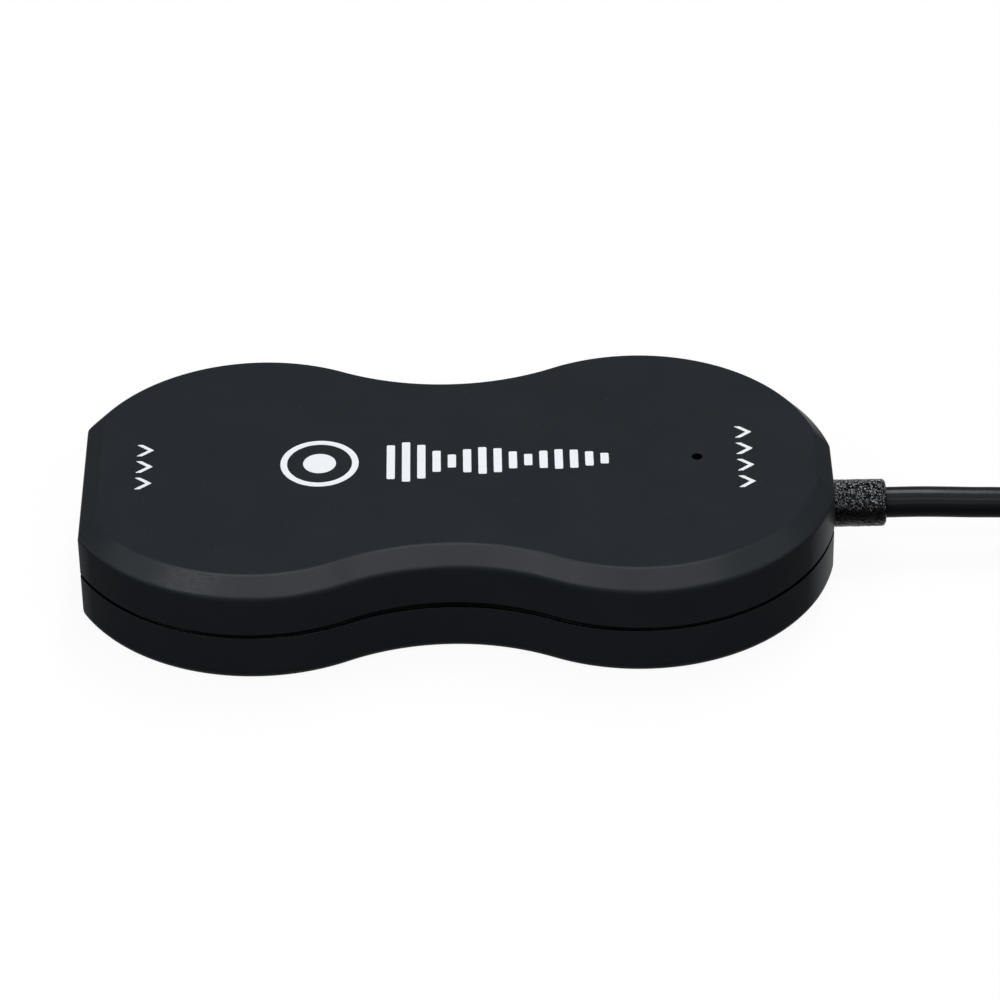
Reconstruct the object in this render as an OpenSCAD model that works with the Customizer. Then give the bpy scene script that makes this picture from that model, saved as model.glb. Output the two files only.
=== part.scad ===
// Video capture box with a captive USB lead.
// Two moulded covers in a figure-eight outline hold one circuit board. The HDMI input sits in
// the flat end at -X, and the USB lead leaves through a strain relief in the flat end at +X.
// The origin is on the resting surface, under the middle of the case. +X points to the lead,
// +Z up, and all sizes are in millimetres.

/* [Case] */
// Length between the two end flats
case_l = 96; // [94:0.5:112]
// Radius of the two round lobes
lobe_r = 25.4; // [24.6:0.1:28]
// Distance from the input end flat to the centre of its lobe
input_lobe_in = 22.5; // [21.5:0.05:23.5]
// Distance from the output end flat to the centre of its lobe
output_lobe_in = 24.85; // [24.2:0.05:25.3]
// Width across the waist
waist_w = 39.1; // [34:0.1:44]
// Height of the closed case
case_h = 15; // [14.2:0.1:20]
// Height at which the top chamfer starts
shoulder_h = 12.55; // [12.2:0.05:14]
// How far the top chamfer draws the top face in
chamfer_in = 2.2; // [1:0.1:3]
// Height of the parting line between the covers
parting_h = 6.85; // [6.6:0.05:8.5]
// Height of the dark groove along the parting line
parting_gap = 0.45; // [0.2:0.05:0.8]
// Chamfer around the bottom edge
bottom_edge = 1; // [0.4:0.1:1.4]
// Thickness of the side walls
wall = 1.8; // [1.6:0.1:2.2]
// Thickness of the floor
floor_t = 1.6; // [1.4:0.1:2]
// Thickness of the roof
roof_t = 1.8; // [1.4:0.1:2.4]
// Height of the lip on the bottom cover
lip_h = 1.4; // [0.8:0.1:2]
// Thickness of that lip
lip_t = 0.8; // [0.6:0.05:0.9]
// Diameter of the hole over the status light
led_hole_d = 1.4; // [1:0.1:2]
// Clearance between pieces that fit into each other
fit_clear = 0.2; // [0.1:0.05:0.3]

/* [Screws] */
// Distance of the case screws from the centre line
case_screw_y = 18; // [16.5:0.1:19]
// Diameter of the screw posts in both covers
boss_d = 6; // [5:0.1:6.4]
// Height at which the posts of the two covers meet
boss_meet_h = 6; // [5:0.1:6.5]
// Diameter of a screw's thread
screw_d = 2; // [1.6:0.1:2.4]
// Diameter of a screw's head
screw_head_d = 3.8; // [3.2:0.1:4.2]
// Height of a screw's head
screw_head_h = 1.2; // [0.8:0.1:1.6]
// How deep the case screw heads sit in the bottom face
case_head_depth = 1.6; // [1.3:0.1:2]
// How far the case screws reach into the top cover
case_screw_bite = 4.5; // [3:0.1:5.5]
// How far the board screws reach below the board
board_screw_bite = 2.4; // [1.6:0.1:2.6]

/* [Board] */
// Distance from the input end flat to the edge of the circuit board
board_set = 2.5; // [2.3:0.1:3.5]
// Free length from the far edge of the board to the output end flat
lead_room = 14; // [13:0.5:18]
// Width of the board
board_w = 24; // [22:0.5:26]
// Thickness of the board
board_t = 1.6; // [1:0.1:1.6]
// Height of the posts under the board
post_h = 1.6; // [1.4:0.1:2]
// Distance of the first pair of board screws from the board's input edge
board_screw_near = 20; // [18.5:0.5:21]
// Distance of the second pair of board screws from the board's far edge
board_screw_far = 13.5; // [12.5:0.5:14.5]
// Distance of the board screws from the board's long edges
board_screw_edge = 2.8; // [2.6:0.1:3]
// Distance of the status light from the board's far edge
led_back = 3.4; // [3.2:0.1:6]
// Diameter of the status light
led_d = 3; // [2:0.1:3.2]
// Height of the status light without its legs
led_h = 4.8; // [4:0.1:5.3]
// Gap between the status light and the roof
led_gap = 0.3; // [0.1:0.1:0.6]

/* [HDMI socket] */
// Outer width of the metal shell
hdmi_w = 15; // [14.8:0.1:15.4]
// Outer height of the metal shell
hdmi_h = 5.6; // [5.4:0.1:5.8]
// Width of the shell's narrow underside
hdmi_base_w = 11; // [10.6:0.1:11.4]
// Height of the sloping lower corners
hdmi_bevel_h = 2.2; // [1.8:0.1:2.4]
// Thickness of the shell
hdmi_t = 0.35; // [0.25:0.05:0.45]
// Depth of the shell
hdmi_l = 11.5; // [11:0.1:12.2]
// How far the shell's mouth lies behind the end flat
hdmi_recess = 0.4; // [0.2:0.1:1]
// Clearance between the shell and the opening in the covers
hdmi_clear = 0.35; // [0.2:0.05:0.5]
// Width of the tongue inside
tongue_w = 11.2; // [10.8:0.1:11.6]
// Thickness of the tongue
tongue_t = 1; // [0.8:0.05:1.2]
// How far the tongue's tip lies behind the mouth
tongue_back = 1.2; // [0.8:0.1:1.8]
// Depth of the solid block behind the tongue
hdmi_block_l = 3.2; // [2.5:0.1:4]

/* [Lead] */
// Height of the lead's axis where it leaves the case
lead_z = 7.2; // [6.9:0.05:8]
// Diameter of the cable
cable_d = 4; // [3.4:0.1:4.2]
// Diameter of the strain relief outside the case
relief_d = 6.1; // [5.4:0.1:6.6]
// How far the strain relief stands out of the case
relief_l = 6.9; // [5:0.1:7]
// Diameter of the strain relief's flange inside the case
flange_d = 9.2; // [8:0.1:10]
// Thickness of that flange
flange_t = 2; // [1.5:0.1:2.5]
// Length of cable between the flange and the bared wires
stub_l = 4; // [3:0.1:5]
// Diameter of one insulated wire
wire_d = 0.9; // [0.7:0.05:1]
// Diameter of the coil at the middle of its turns
coil_mid_d = 42; // [40:0.5:45]
// Gap left between neighbouring turns of the coil
coil_gap = 0.5; // [0.45:0.05:0.6]
// Thickness of the tie around the coil
tie_t = 0.4; // [0.3:0.05:0.8]
// Width of the tie
tie_w = 5; // [3:0.5:8]
// Clearance between the tie and the cable
tie_clear = 0.2; // [0.15:0.05:0.4]

/* [USB plug] */
// Width of the grip
grip_w = 16; // [14:0.5:17]
// Height of the grip
grip_h = 9; // [8:0.5:10]
// Length of the grip
grip_l = 22; // [18:0.5:26]
// Radius of the grip's long edges
grip_edge_r = 2.5; // [1:0.1:3]
// Length of the tapered neck behind the grip
neck_l = 8; // [7.5:0.5:12]
// Diameter of the neck where the cable enters
neck_d = 5.2; // [4.8:0.1:6]
// Diameter of the neck at the grip
neck_root_d = 6.6; // [6:0.1:7.5]
// Width of the metal shell
plug_w = 12; // [11.9:0.05:12.1]
// Height of the metal shell
plug_h = 4.5; // [4.4:0.05:4.6]
// Length of the metal shell outside the grip
plug_l = 12; // [11.5:0.1:12.5]
// Thickness of the shell
plug_t = 0.3; // [0.25:0.05:0.35]
// Thickness of the insulator inside the shell
plug_core_t = 1.9; // [1.7:0.05:2]
// Side of the square windows in the shell
plug_window = 2.4; // [2:0.1:2.6]

/* [Hidden] */
$fn = 96;
// Overshoot of every cut past the face that it opens
over = 1;

// Case outline: two lobes, joined by waist arcs. The arcs reach a little into the lobes, so that the
// curves cross cleanly and don't only touch
waist_bite = 0.05;
join_r = lobe_r - waist_bite;
input_x = -case_l / 2;
output_x = case_l / 2;
input_lobe_x = input_x + input_lobe_in;
output_lobe_x = output_x - output_lobe_in;
waist_x = (input_lobe_x + output_lobe_x) / 2;
lobe_half_gap = (output_lobe_x - input_lobe_x) / 2;
waist_half = waist_w / 2;
waist_r = (waist_half ^ 2 + lobe_half_gap ^ 2 - join_r ^ 2) / (2 * (join_r - waist_half));
waist_y = waist_half + waist_r;

// Heights in the case
bottom_top = parting_h - parting_gap / 2;
top_bottom = parting_h + parting_gap / 2;
lip_top = bottom_top + lip_h;
ceiling_z = case_h - roof_t;
lip_inset = wall - lip_t;
rebate_inset = lip_inset - fit_clear;

// Board and what stands on it
board_x0 = input_x + board_set;
board_x1 = output_x - lead_room;
board_z0 = floor_t + post_h;
board_z1 = board_z0 + board_t;
board_l = board_x1 - board_x0;
board_side = board_w / 2;
led_x = board_x1 - led_back;
led_top = ceiling_z - led_gap;
led_base = led_top - led_h;
led_rim = 0.4;
led_rim_h = 0.8;
led_leg_d = 0.5;
led_leg_gap = 1.27;

// Screws and their posts
case_screw_places = [for (x = [input_lobe_x, output_lobe_x], side = [-1, 1]) [x, side * case_screw_y]];
board_screw_places = [for (x = [board_x0 + board_screw_near, board_x1 - board_screw_far], side = [-1, 1])
    [x, side * (board_side - board_screw_edge)]];
pilot_clear = 0.05;
post_d = 4.6;

// HDMI socket
hdmi_x = input_x + hdmi_recess;
hdmi_end_x = hdmi_x + hdmi_l;
tongue_z = board_z1 + hdmi_h / 2;
hdmi_pitch = 1;
hdmi_top_contacts = 10;
hdmi_low_contacts = 9;
hdmi_contact_w = 0.4;
hdmi_contact_t = 0.15;
hdmi_contact_back = 0.6;
hdmi_contact_l = hdmi_l - hdmi_block_l - tongue_back - hdmi_contact_back;

// Components: [distance from the board's input edge, distance from the centre line]. Those near the far
// edge and the long edges are measured from there
chip_place = [27.5, 0];
chip_side = 10;
chip_h = 1.2;
chip_leads_a_side = 12;
chip_lead_pitch = 0.7;
lead_l = 1;
lead_w = 0.3;
lead_t = 0.2;
memory_place = [42, 5];
memory_size = [4.9, 3.9, 1.5];
memory_leads_a_side = 3;
memory_lead_pitch = 1.2;
surge_places = [[13.5, 4], [13.5, -4]];
surge_size = [2.5, 1, 0.55];
crystal_place = [27.5, 3 - board_side];
crystal_size = [5, 3.2, 0.7];
crystal_lid = [4.2, 2.4, 0.4];
inductor_place = [45, -6];
inductor_side = 4;
inductor_base_h = 0.4;
inductor_h = 2;
inductor_d = 3.8;
regulator_place = [55.5, 5.2];
regulator_size = [6.5, 3.5, 1.6];
bulk_place = [60, -5.2];
bulk_base = 4.3;
bulk_base_h = 0.8;
bulk_d = 4;
bulk_h = 5.4;
capacitor_places = [[17, 2], [17, -2], [36, 3], [36, 0], [36, -3], [39, 3 - board_side], [50, 3], [50, -3],
    [52, 2.5 - board_side], [board_l - 9.5, board_side - 2], [board_l - 9.5, 2 - board_side],
    [33, board_side - 3]];
capacitor_size = [1.6, 0.8, 0.8];
resistor_places = [[12.5, 1], [12.5, -1], [15, 7], [15, -7], [36, 6.5], [36, -6.5],
    [47.5, board_side - 2.5], [40, board_side - 2.5], [board_l - 17.5, 2], [board_l - 15.5, 2],
    [board_l - 7.5, 2.5], [board_l - 7.5, -2.5]];
resistor_size = [1, 0.5, 0.35];

// Lead inside the case
relief_end = output_x + relief_l;
flange_x = output_x - wall - fit_clear;
stub_x1 = flange_x - flange_t;
stub_x0 = stub_x1 - stub_l;
solder_size = [1.6, 1.2, 1];
solder_back = 0.6;
solder_x1 = board_x1 - solder_back;
wire_spread = 3;
wire_pack = 0.62;
wire_straight = 1.2;
wire_colours = ["firebrick", "white", "seagreen", "#202020"];

// Coil: beside the line of the case, spiralling in on the first layer and out on the second
coil_turns = 7;
coil_climb = 0.5;
coil_steps = 24;
coil_sides = 6;
coil_pitch = cable_d + coil_gap;
coil_r = coil_mid_d / 2 + coil_pitch * coil_turns / 4;
coil_x = 113;
lay_y = -17;
coil_y = lay_y + coil_r;
coil_z = tie_t + tie_clear + cable_d / 2;
coil_straight = cable_d + coil_gap;
function coil_radius(u) = coil_r - coil_pitch * min(u, coil_turns - u);
function coil_rise(u) = let (v = min(1, max(0, (u - coil_turns / 2) / coil_climb + 0.5)))
    coil_pitch * (1 - cos(180 * v)) / 2;
function coil_point(u) = [coil_x + coil_radius(u) * sin(360 * u), coil_y - coil_radius(u) * cos(360 * u),
    coil_z + coil_rise(u)];
coil_start_point = [coil_x - coil_straight, lay_y, coil_z];
coil_end_point = [coil_x + coil_straight, lay_y, coil_z + coil_pitch];
coil_path = concat([coil_start_point], [for (i = [0 : coil_turns * coil_steps]) coil_point(i / coil_steps)],
    [coil_end_point]);
coil_least = min([for (i = [0 : len(coil_path) - 1], j = [i + coil_steps / 3 : len(coil_path) - 1])
    norm(coil_path[i] - coil_path[j])]);
echo(least_gap_of_coil_to_itself = coil_least - cable_d);

// Free stretches of the lead
tube_sides = 8;
tail_reach = 25;
plug_x0 = coil_x + tail_reach;
plug_z = grip_h / 2;
relief_point = [relief_end, 0, lead_z];
plug_point = [plug_x0, lay_y, plug_z];
straight = [coil_straight, 0, 0];
lead_route = concat([relief_point, relief_point + straight],
    [[66, 0, 6.95], [71.5, 0, 6.7], [77.7, -1, 6.2], [83.4, -4, 5.4], [87.8, -8.5, 4.6]],
    [[92.1, -13, 3.7], [97.8, -16, 3]],
    [coil_start_point - straight, coil_start_point]);
tail_route = concat([coil_end_point, coil_end_point + straight], [[125, -17, 6.8], [127.8, -17, 5.8]],
    [[130.5, -17, 4.8], plug_point - straight, plug_point]);

// Tie around the coil, opposite the place where the lead comes in
tie_turn = 0.5;
tie_outer_y = coil_y + coil_radius(tie_turn) + cable_d / 2 + tie_clear;
tie_inner_y = coil_y + sqrt(coil_radius(coil_turns / 2) ^ 2 - (tie_w / 2) ^ 2) - cable_d / 2 - tie_clear;
tie_high = cable_d + coil_pitch + 2 * tie_clear;
tie_corner_r = 2;

// USB plug
grip_x0 = plug_x0 + neck_l;
grip_x1 = grip_x0 + grip_l;
core_gap = 0.15;
core_recess = 0.6;
plug_contact_pitch = 2.2;
plug_contact_w = 1;
plug_contact_t = 0.15;
window_y = 2.6;
window_back = 4.6;

// One slab of the case outline between two heights, drawn in by one amount below and another above
module slab(z0, z1, inset0, inset1) {
    h = z1 - z0;
    translate([0, 0, z0])
        intersection() {
            union() {
                for (x = [input_lobe_x, output_lobe_x])
                    translate([x, 0, 0])
                        cylinder(h = h, r1 = lobe_r - inset0, r2 = lobe_r - inset1);
                difference() {
                    linear_extrude(h)
                        polygon([[input_lobe_x, 0], [waist_x, waist_y], [output_lobe_x, 0],
                            [waist_x, -waist_y]]);
                    for (side = [-1, 1])
                        translate([waist_x, side * waist_y, 0])
                            cylinder(h = h, r1 = waist_r + inset0, r2 = waist_r + inset1);
                }
            }
            rotate([90, 0, 0])
                linear_extrude(2 * lobe_r + 2 * over, center = true)
                    polygon([[input_x + inset0, 0], [output_x - inset0, 0], [output_x - inset1, h],
                        [input_x + inset1, h]]);
        }
}

// A flat outline in Y and Z, carried along X
module along_x(x0, x1) {
    translate([x0, 0, 0])
        rotate([90, 0, 90])
            linear_extrude(x1 - x0)
                children();
}

// A round rod along X
module rod_x(x0, x1, d) {
    translate([x0, 0, 0])
        rotate([0, 90, 0])
            cylinder(h = x1 - x0, d = d);
}

// A box centred on a place of the board, standing on it
module on_board(place, size, lift = 0) {
    translate([board_x0 + place.x - size.x / 2, place.y - size.y / 2, board_z1 + lift])
        cube(size);
}

// A rectangle with round corners
module round_rect(w, h, r) {
    square([w - 2 * r, h], center = true);
    square([w, h - 2 * r], center = true);
    for (x = [-1, 1], y = [-1, 1])
        translate([x * (w / 2 - r), y * (h / 2 - r)])
            circle(r);
}

// Outline of the HDMI shell: wide above, with sloping lower corners
function hdmi_outline(grow) = [[-hdmi_w / 2 - grow, hdmi_h + grow], [hdmi_w / 2 + grow, hdmi_h + grow],
    [hdmi_w / 2 + grow, hdmi_bevel_h], [hdmi_base_w / 2 + grow, -grow], [-hdmi_base_w / 2 - grow, -grow],
    [-hdmi_w / 2 - grow, hdmi_bevel_h]];

// Ring of points around a path point, square to the path
function heading(path, i) = let (a = path[max(0, i - 1)], b = path[min(len(path) - 1, i + 1)])
    (b - a) / norm(b - a);
function ring(path, i, sides, r) = let (along = heading(path, i), across = cross([0, 0, 1], along),
    side = across / norm(across), up = cross(along, side))
    [for (k = [0 : sides - 1]) path[i] + r * (cos(360 * k / sides) * side + sin(360 * k / sides) * up)];

// One closed tube along a path
module tube(path, d, sides) {
    last = len(path) - 1;
    points = [for (i = [0 : last]) each ring(path, i, sides, d / 2)];
    walls = [for (i = [0 : last - 1], k = [0 : sides - 1])
        let (m = (k + 1) % sides, a = i * sides, b = (i + 1) * sides)
        each [[a + k, b + k, a + m], [a + m, b + k, b + m]]];
    caps = [for (k = [1 : sides - 2])
        each [[0, k, k + 1], [last * sides, last * sides + k + 1, last * sides + k]]];
    polyhedron(points, concat(walls, caps));
}

// Opening for the HDMI shell, through both covers
module hdmi_opening() {
    translate([0, 0, board_z1])
        along_x(input_x - over, input_x + wall + over)
            polygon(hdmi_outline(hdmi_clear));
}

// Hole for the strain relief, shared by both covers
module relief_hole() {
    translate([0, 0, lead_z])
        rod_x(output_x - wall - over, output_x + over, relief_d + 2 * fit_clear);
}

module top_cover() {
    color("#2b3034")
        difference() {
            union() {
                difference() {
                    union() {
                        slab(top_bottom, shoulder_h, 0, 0);
                        slab(shoulder_h, case_h, 0, chamfer_in);
                    }
                    slab(top_bottom - over, ceiling_z, wall, wall);
                    slab(top_bottom - over, lip_top + fit_clear, rebate_inset, rebate_inset);
                }
                for (place = case_screw_places)
                    translate([place.x, place.y, boss_meet_h])
                        cylinder(h = case_h - roof_t / 2 - boss_meet_h, d = boss_d);
            }
            for (place = case_screw_places)
                translate([place.x, place.y, boss_meet_h - over])
                    cylinder(h = case_screw_bite + fit_clear + over, d = screw_d + 2 * pilot_clear);
            translate([led_x, 0, ceiling_z - over])
                cylinder(h = roof_t + 2 * over, d = led_hole_d);
            hdmi_opening();
            relief_hole();
        }
}

module bottom_cover() {
    color("#24282b")
        difference() {
            union() {
                difference() {
                    union() {
                        slab(0, bottom_edge, bottom_edge, 0);
                        slab(bottom_edge, bottom_top, 0, 0);
                        slab(bottom_top, lip_top, lip_inset, lip_inset);
                    }
                    slab(floor_t, lip_top + over, wall, wall);
                }
                for (place = case_screw_places)
                    translate([place.x, place.y, floor_t / 2])
                        cylinder(h = boss_meet_h - floor_t / 2, d = boss_d);
                for (place = board_screw_places)
                    translate([place.x, place.y, floor_t / 2])
                        cylinder(h = board_z0 - floor_t / 2, d = post_d);
            }
            for (place = case_screw_places) {
                translate([place.x, place.y, -over])
                    cylinder(h = case_head_depth + screw_head_h + over, d = screw_head_d + 2 * fit_clear);
                translate([place.x, place.y, 0])
                    cylinder(h = boss_meet_h + over, d = screw_d + 2 * fit_clear);
            }
            for (place = board_screw_places)
                translate([place.x, place.y, board_z0 - board_screw_bite - fit_clear])
                    cylinder(h = board_screw_bite + fit_clear + over, d = screw_d + 2 * pilot_clear);
            hdmi_opening();
            relief_hole();
        }
}

// A screw that points down from its head, with a cross recess
module screw(length) {
    cross_l = screw_head_d / 2;
    cross_w = cross_l / 4;
    difference() {
        union() {
            cylinder(h = screw_head_h, d = screw_head_d);
            translate([0, 0, -length])
                cylinder(h = length + screw_head_h / 2, d = screw_d);
        }
        for (turn = [0, 90])
            rotate([0, 0, turn])
                translate([-cross_l / 2, -cross_w / 2, screw_head_h / 2])
                    cube([cross_l, cross_w, screw_head_h]);
    }
}

module case_screws() {
    seat = case_head_depth + screw_head_h;
    color("dimgray")
        for (place = case_screw_places)
            translate([place.x, place.y, seat])
                rotate([180, 0, 0])
                    screw(boss_meet_h + case_screw_bite - seat);
}

module circuit_board() {
    color("darkgreen")
        difference() {
            intersection() {
                translate([board_x0, -board_w / 2, board_z0])
                    cube([board_l, board_w, board_t]);
                slab(board_z0, board_z1, wall + fit_clear, wall + fit_clear);
            }
            for (place = board_screw_places)
                translate([place.x, place.y, board_z0 - over])
                    cylinder(h = board_t + 2 * over, d = screw_d + 2 * fit_clear);
        }
}

module board_screws() {
    color("silver")
        for (place = board_screw_places)
            translate([place.x, place.y, board_z1])
                screw(board_t + board_screw_bite);
}

module hdmi_shell() {
    color("gainsboro")
        translate([0, 0, board_z1])
            difference() {
                along_x(hdmi_x, hdmi_end_x)
                    polygon(hdmi_outline(0));
                along_x(hdmi_x - over, hdmi_end_x + over)
                    polygon(hdmi_outline(-hdmi_t));
            }
}

module hdmi_insulator() {
    color("#151515")
        translate([0, 0, board_z1])
            union() {
                along_x(hdmi_end_x - hdmi_block_l, hdmi_end_x)
                    polygon(hdmi_outline(-hdmi_t));
                translate([hdmi_x + tongue_back, -tongue_w / 2, (hdmi_h - tongue_t) / 2])
                    cube([hdmi_l - tongue_back - hdmi_block_l / 2, tongue_w, tongue_t]);
            }
}

// One row of flat contacts on the tongue
module contact_row(count, z) {
    for (i = [0 : count - 1])
        translate([hdmi_end_x - hdmi_block_l - hdmi_contact_l,
            (i - (count - 1) / 2) * hdmi_pitch - hdmi_contact_w / 2, z])
            cube([hdmi_contact_l, hdmi_contact_w, hdmi_contact_t]);
}

module hdmi_contacts() {
    color("gold") {
        contact_row(hdmi_top_contacts, tongue_z + tongue_t / 2);
        contact_row(hdmi_low_contacts, tongue_z - tongue_t / 2 - hdmi_contact_t);
    }
}

module capture_chip() {
    color("#1c1c1e")
        on_board(chip_place, [chip_side, chip_side, chip_h]);
}

module memory_chip() {
    color("#222224")
        on_board(memory_place, memory_size);
}

module chip_leads() {
    color("lightgray") {
        for (turn = [0 : 90 : 270], i = [0 : chip_leads_a_side - 1])
            translate([board_x0 + chip_place.x, chip_place.y, board_z1])
                rotate([0, 0, turn])
                    translate([chip_side / 2,
                        (i - (chip_leads_a_side - 1) / 2) * chip_lead_pitch - lead_w / 2, 0])
                        cube([lead_l, lead_w, lead_t]);
        for (turn = [0, 180], i = [0 : memory_leads_a_side - 1])
            translate([board_x0 + memory_place.x, memory_place.y, board_z1])
                rotate([0, 0, turn])
                    translate([memory_size.x / 2,
                        (i - (memory_leads_a_side - 1) / 2) * memory_lead_pitch - lead_w / 2, 0])
                        cube([lead_l, lead_w, lead_t]);
    }
}

module surge_arrays() {
    color("#262628")
        for (place = surge_places)
            on_board(place, surge_size);
}

module crystal() {
    color("silver")
        union() {
            on_board(crystal_place, crystal_size);
            on_board(crystal_place, [crystal_lid.x, crystal_lid.y, crystal_size.z + crystal_lid.z]);
        }
}

module power_inductor() {
    color("#3a3a3c")
        union() {
            on_board(inductor_place, [inductor_side, inductor_side, inductor_base_h]);
            translate([board_x0 + inductor_place.x, inductor_place.y, board_z1])
                cylinder(h = inductor_h, d = inductor_d);
        }
}

module voltage_regulator() {
    color("#1f1f21")
        on_board(regulator_place, regulator_size);
}

module bulk_capacitor() {
    color("silver")
        union() {
            on_board(bulk_place, [bulk_base, bulk_base, bulk_base_h]);
            translate([board_x0 + bulk_place.x, bulk_place.y, board_z1])
                cylinder(h = bulk_h, d = bulk_d);
        }
}

module capacitors() {
    color("tan")
        for (place = capacitor_places)
            on_board(place, capacitor_size);
}

module resistors() {
    color("#101012")
        for (place = resistor_places)
            on_board(place, resistor_size);
}

module status_led() {
    color("ivory")
        translate([led_x, 0, 0])
            union() {
                translate([0, 0, led_base])
                    cylinder(h = led_rim_h, d = led_d + 2 * led_rim);
                translate([0, 0, led_base])
                    cylinder(h = led_h - led_d / 2, d = led_d);
                translate([0, 0, led_top - led_d / 2])
                    sphere(d = led_d);
            }
}

module led_legs() {
    color("silver")
        for (side = [-1, 1])
            translate([led_x, side * led_leg_gap / 2, board_z1])
                cylinder(h = led_base - board_z1, d = led_leg_d, $fn = 24);
}

module solder_joints() {
    color("lightgray")
        for (i = [0 : 3])
            translate([solder_x1 - solder_size.x, (i - 1.5) * wire_spread - solder_size.y / 2, board_z1])
                cube(solder_size);
}

// One wire from the bared cable end down to its solder joint, with a straight end at each
module usb_wire(i) {
    joint_y = (i - 1.5) * wire_spread;
    start = [stub_x0, (i < 2 ? -1 : 1) * wire_pack, lead_z + (i % 3 == 0 ? -1 : 1) * wire_pack];
    first = start - [wire_straight, 0, 0];
    end = [solder_x1, joint_y, board_z1 + solder_size.z / 2];
    second = end + [wire_straight, 0, 0];
    color(wire_colours[i])
        tube([start, first, second, end], wire_d, tube_sides);
}

module usb_wire_red() {
    usb_wire(0);
}

module usb_wire_white() {
    usb_wire(1);
}

module usb_wire_green() {
    usb_wire(2);
}

module usb_wire_black() {
    usb_wire(3);
}

module cable_stub() {
    color("#161616")
        translate([0, 0, lead_z])
            rod_x(stub_x0, stub_x1, cable_d);
}

module strain_relief() {
    color("#1d1d1e")
        translate([0, 0, lead_z])
            union() {
                rod_x(stub_x1, flange_x, flange_d);
                rod_x(stub_x1, relief_end, relief_d);
            }
}

module usb_cable() {
    color("#161616")
        tube(lead_route, cable_d, tube_sides);
}

module usb_cable_coil() {
    color("#161616")
        tube(coil_path, cable_d, coil_sides);
}

module usb_cable_tail() {
    color("#161616")
        tube(tail_route, cable_d, tube_sides);
}

module cable_tie() {
    inner_w = tie_outer_y - tie_inner_y;
    color("#1a1a1a")
        translate([0, (tie_outer_y + tie_inner_y) / 2, tie_t + tie_high / 2])
            along_x(coil_x - tie_w / 2, coil_x + tie_w / 2)
                difference() {
                    round_rect(inner_w + 2 * tie_t, tie_high + 2 * tie_t, tie_corner_r + tie_t);
                    round_rect(inner_w, tie_high, tie_corner_r);
                }
}

module usb_plug_grip() {
    color("#1b1b1c")
        translate([0, lay_y, plug_z])
            union() {
                along_x(grip_x0, grip_x1)
                    round_rect(grip_w, grip_h, grip_edge_r);
                translate([plug_x0, 0, 0])
                    rotate([0, 90, 0])
                        cylinder(h = neck_l, d1 = neck_d, d2 = neck_root_d);
            }
}

module usb_plug_shell() {
    color("gainsboro")
        translate([0, lay_y, plug_z])
            difference() {
                along_x(grip_x1, grip_x1 + plug_l)
                    square([plug_w, plug_h], center = true);
                along_x(grip_x1 - over, grip_x1 + plug_l + over)
                    square([plug_w - 2 * plug_t, plug_h - 2 * plug_t], center = true);
                for (side = [-1, 1])
                    translate([grip_x1 + window_back, side * window_y - plug_window / 2, -plug_h])
                        cube([plug_window, plug_window, 2 * plug_h]);
            }
}

// Insulator on the upper inner face of the shell, with the free slot below it
module usb_plug_insulator() {
    inner_w = plug_w - 2 * plug_t;
    core_top = plug_z + plug_h / 2 - plug_t - core_gap;
    color("whitesmoke")
        translate([grip_x1, lay_y - inner_w / 2 + core_gap, core_top - plug_core_t])
            cube([plug_l - core_recess, inner_w - 2 * core_gap, plug_core_t]);
}

module usb_plug_contacts() {
    core_low = plug_z + plug_h / 2 - plug_t - core_gap - plug_core_t;
    color("gold")
        for (i = [0 : 3])
            translate([grip_x1, lay_y + (i - 1.5) * plug_contact_pitch - plug_contact_w / 2,
                core_low - plug_contact_t])
                cube([plug_l - 2 * core_recess, plug_contact_w, plug_contact_t]);
}

top_cover();
bottom_cover();
case_screws();
circuit_board();
board_screws();
hdmi_shell();
hdmi_insulator();
hdmi_contacts();
capture_chip();
memory_chip();
chip_leads();
surge_arrays();
crystal();
power_inductor();
voltage_regulator();
bulk_capacitor();
capacitors();
resistors();
status_led();
led_legs();
solder_joints();
usb_wire_red();
usb_wire_white();
usb_wire_green();
usb_wire_black();
cable_stub();
strain_relief();
usb_cable();
usb_cable_coil();
usb_cable_tail();
cable_tie();
usb_plug_grip();
usb_plug_shell();
usb_plug_insulator();
usb_plug_contacts();
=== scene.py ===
# %% [markdown]
# A video capture box: two dark moulded covers in a figure-eight outline, a video socket in one flat end and
# a captive lead in the other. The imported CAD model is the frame, and everything here is placed by it. It is
# loaded first, because each new piece takes its size from the node that it stands for.

# %% Load the frame
import math

import bpy
import numpy as np
from mathutils import Matrix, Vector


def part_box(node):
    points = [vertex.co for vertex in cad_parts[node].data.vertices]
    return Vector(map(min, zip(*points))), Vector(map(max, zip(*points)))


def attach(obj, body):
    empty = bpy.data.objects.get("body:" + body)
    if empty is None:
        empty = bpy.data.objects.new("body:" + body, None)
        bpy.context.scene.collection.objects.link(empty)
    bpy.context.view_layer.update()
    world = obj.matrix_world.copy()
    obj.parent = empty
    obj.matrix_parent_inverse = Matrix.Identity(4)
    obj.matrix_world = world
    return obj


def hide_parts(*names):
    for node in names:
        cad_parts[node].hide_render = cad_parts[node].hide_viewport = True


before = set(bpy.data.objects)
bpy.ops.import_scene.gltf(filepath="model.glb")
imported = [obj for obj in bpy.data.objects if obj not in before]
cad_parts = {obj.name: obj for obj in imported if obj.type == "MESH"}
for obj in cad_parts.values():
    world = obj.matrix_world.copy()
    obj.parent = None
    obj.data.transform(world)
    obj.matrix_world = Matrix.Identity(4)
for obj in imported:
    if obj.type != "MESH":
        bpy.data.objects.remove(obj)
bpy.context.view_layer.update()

MM = 0.001


def node_box(node):
    """Lowest and highest corner of a CAD node, in millimetres."""
    return [np.array(corner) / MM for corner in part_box(node)]


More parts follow.
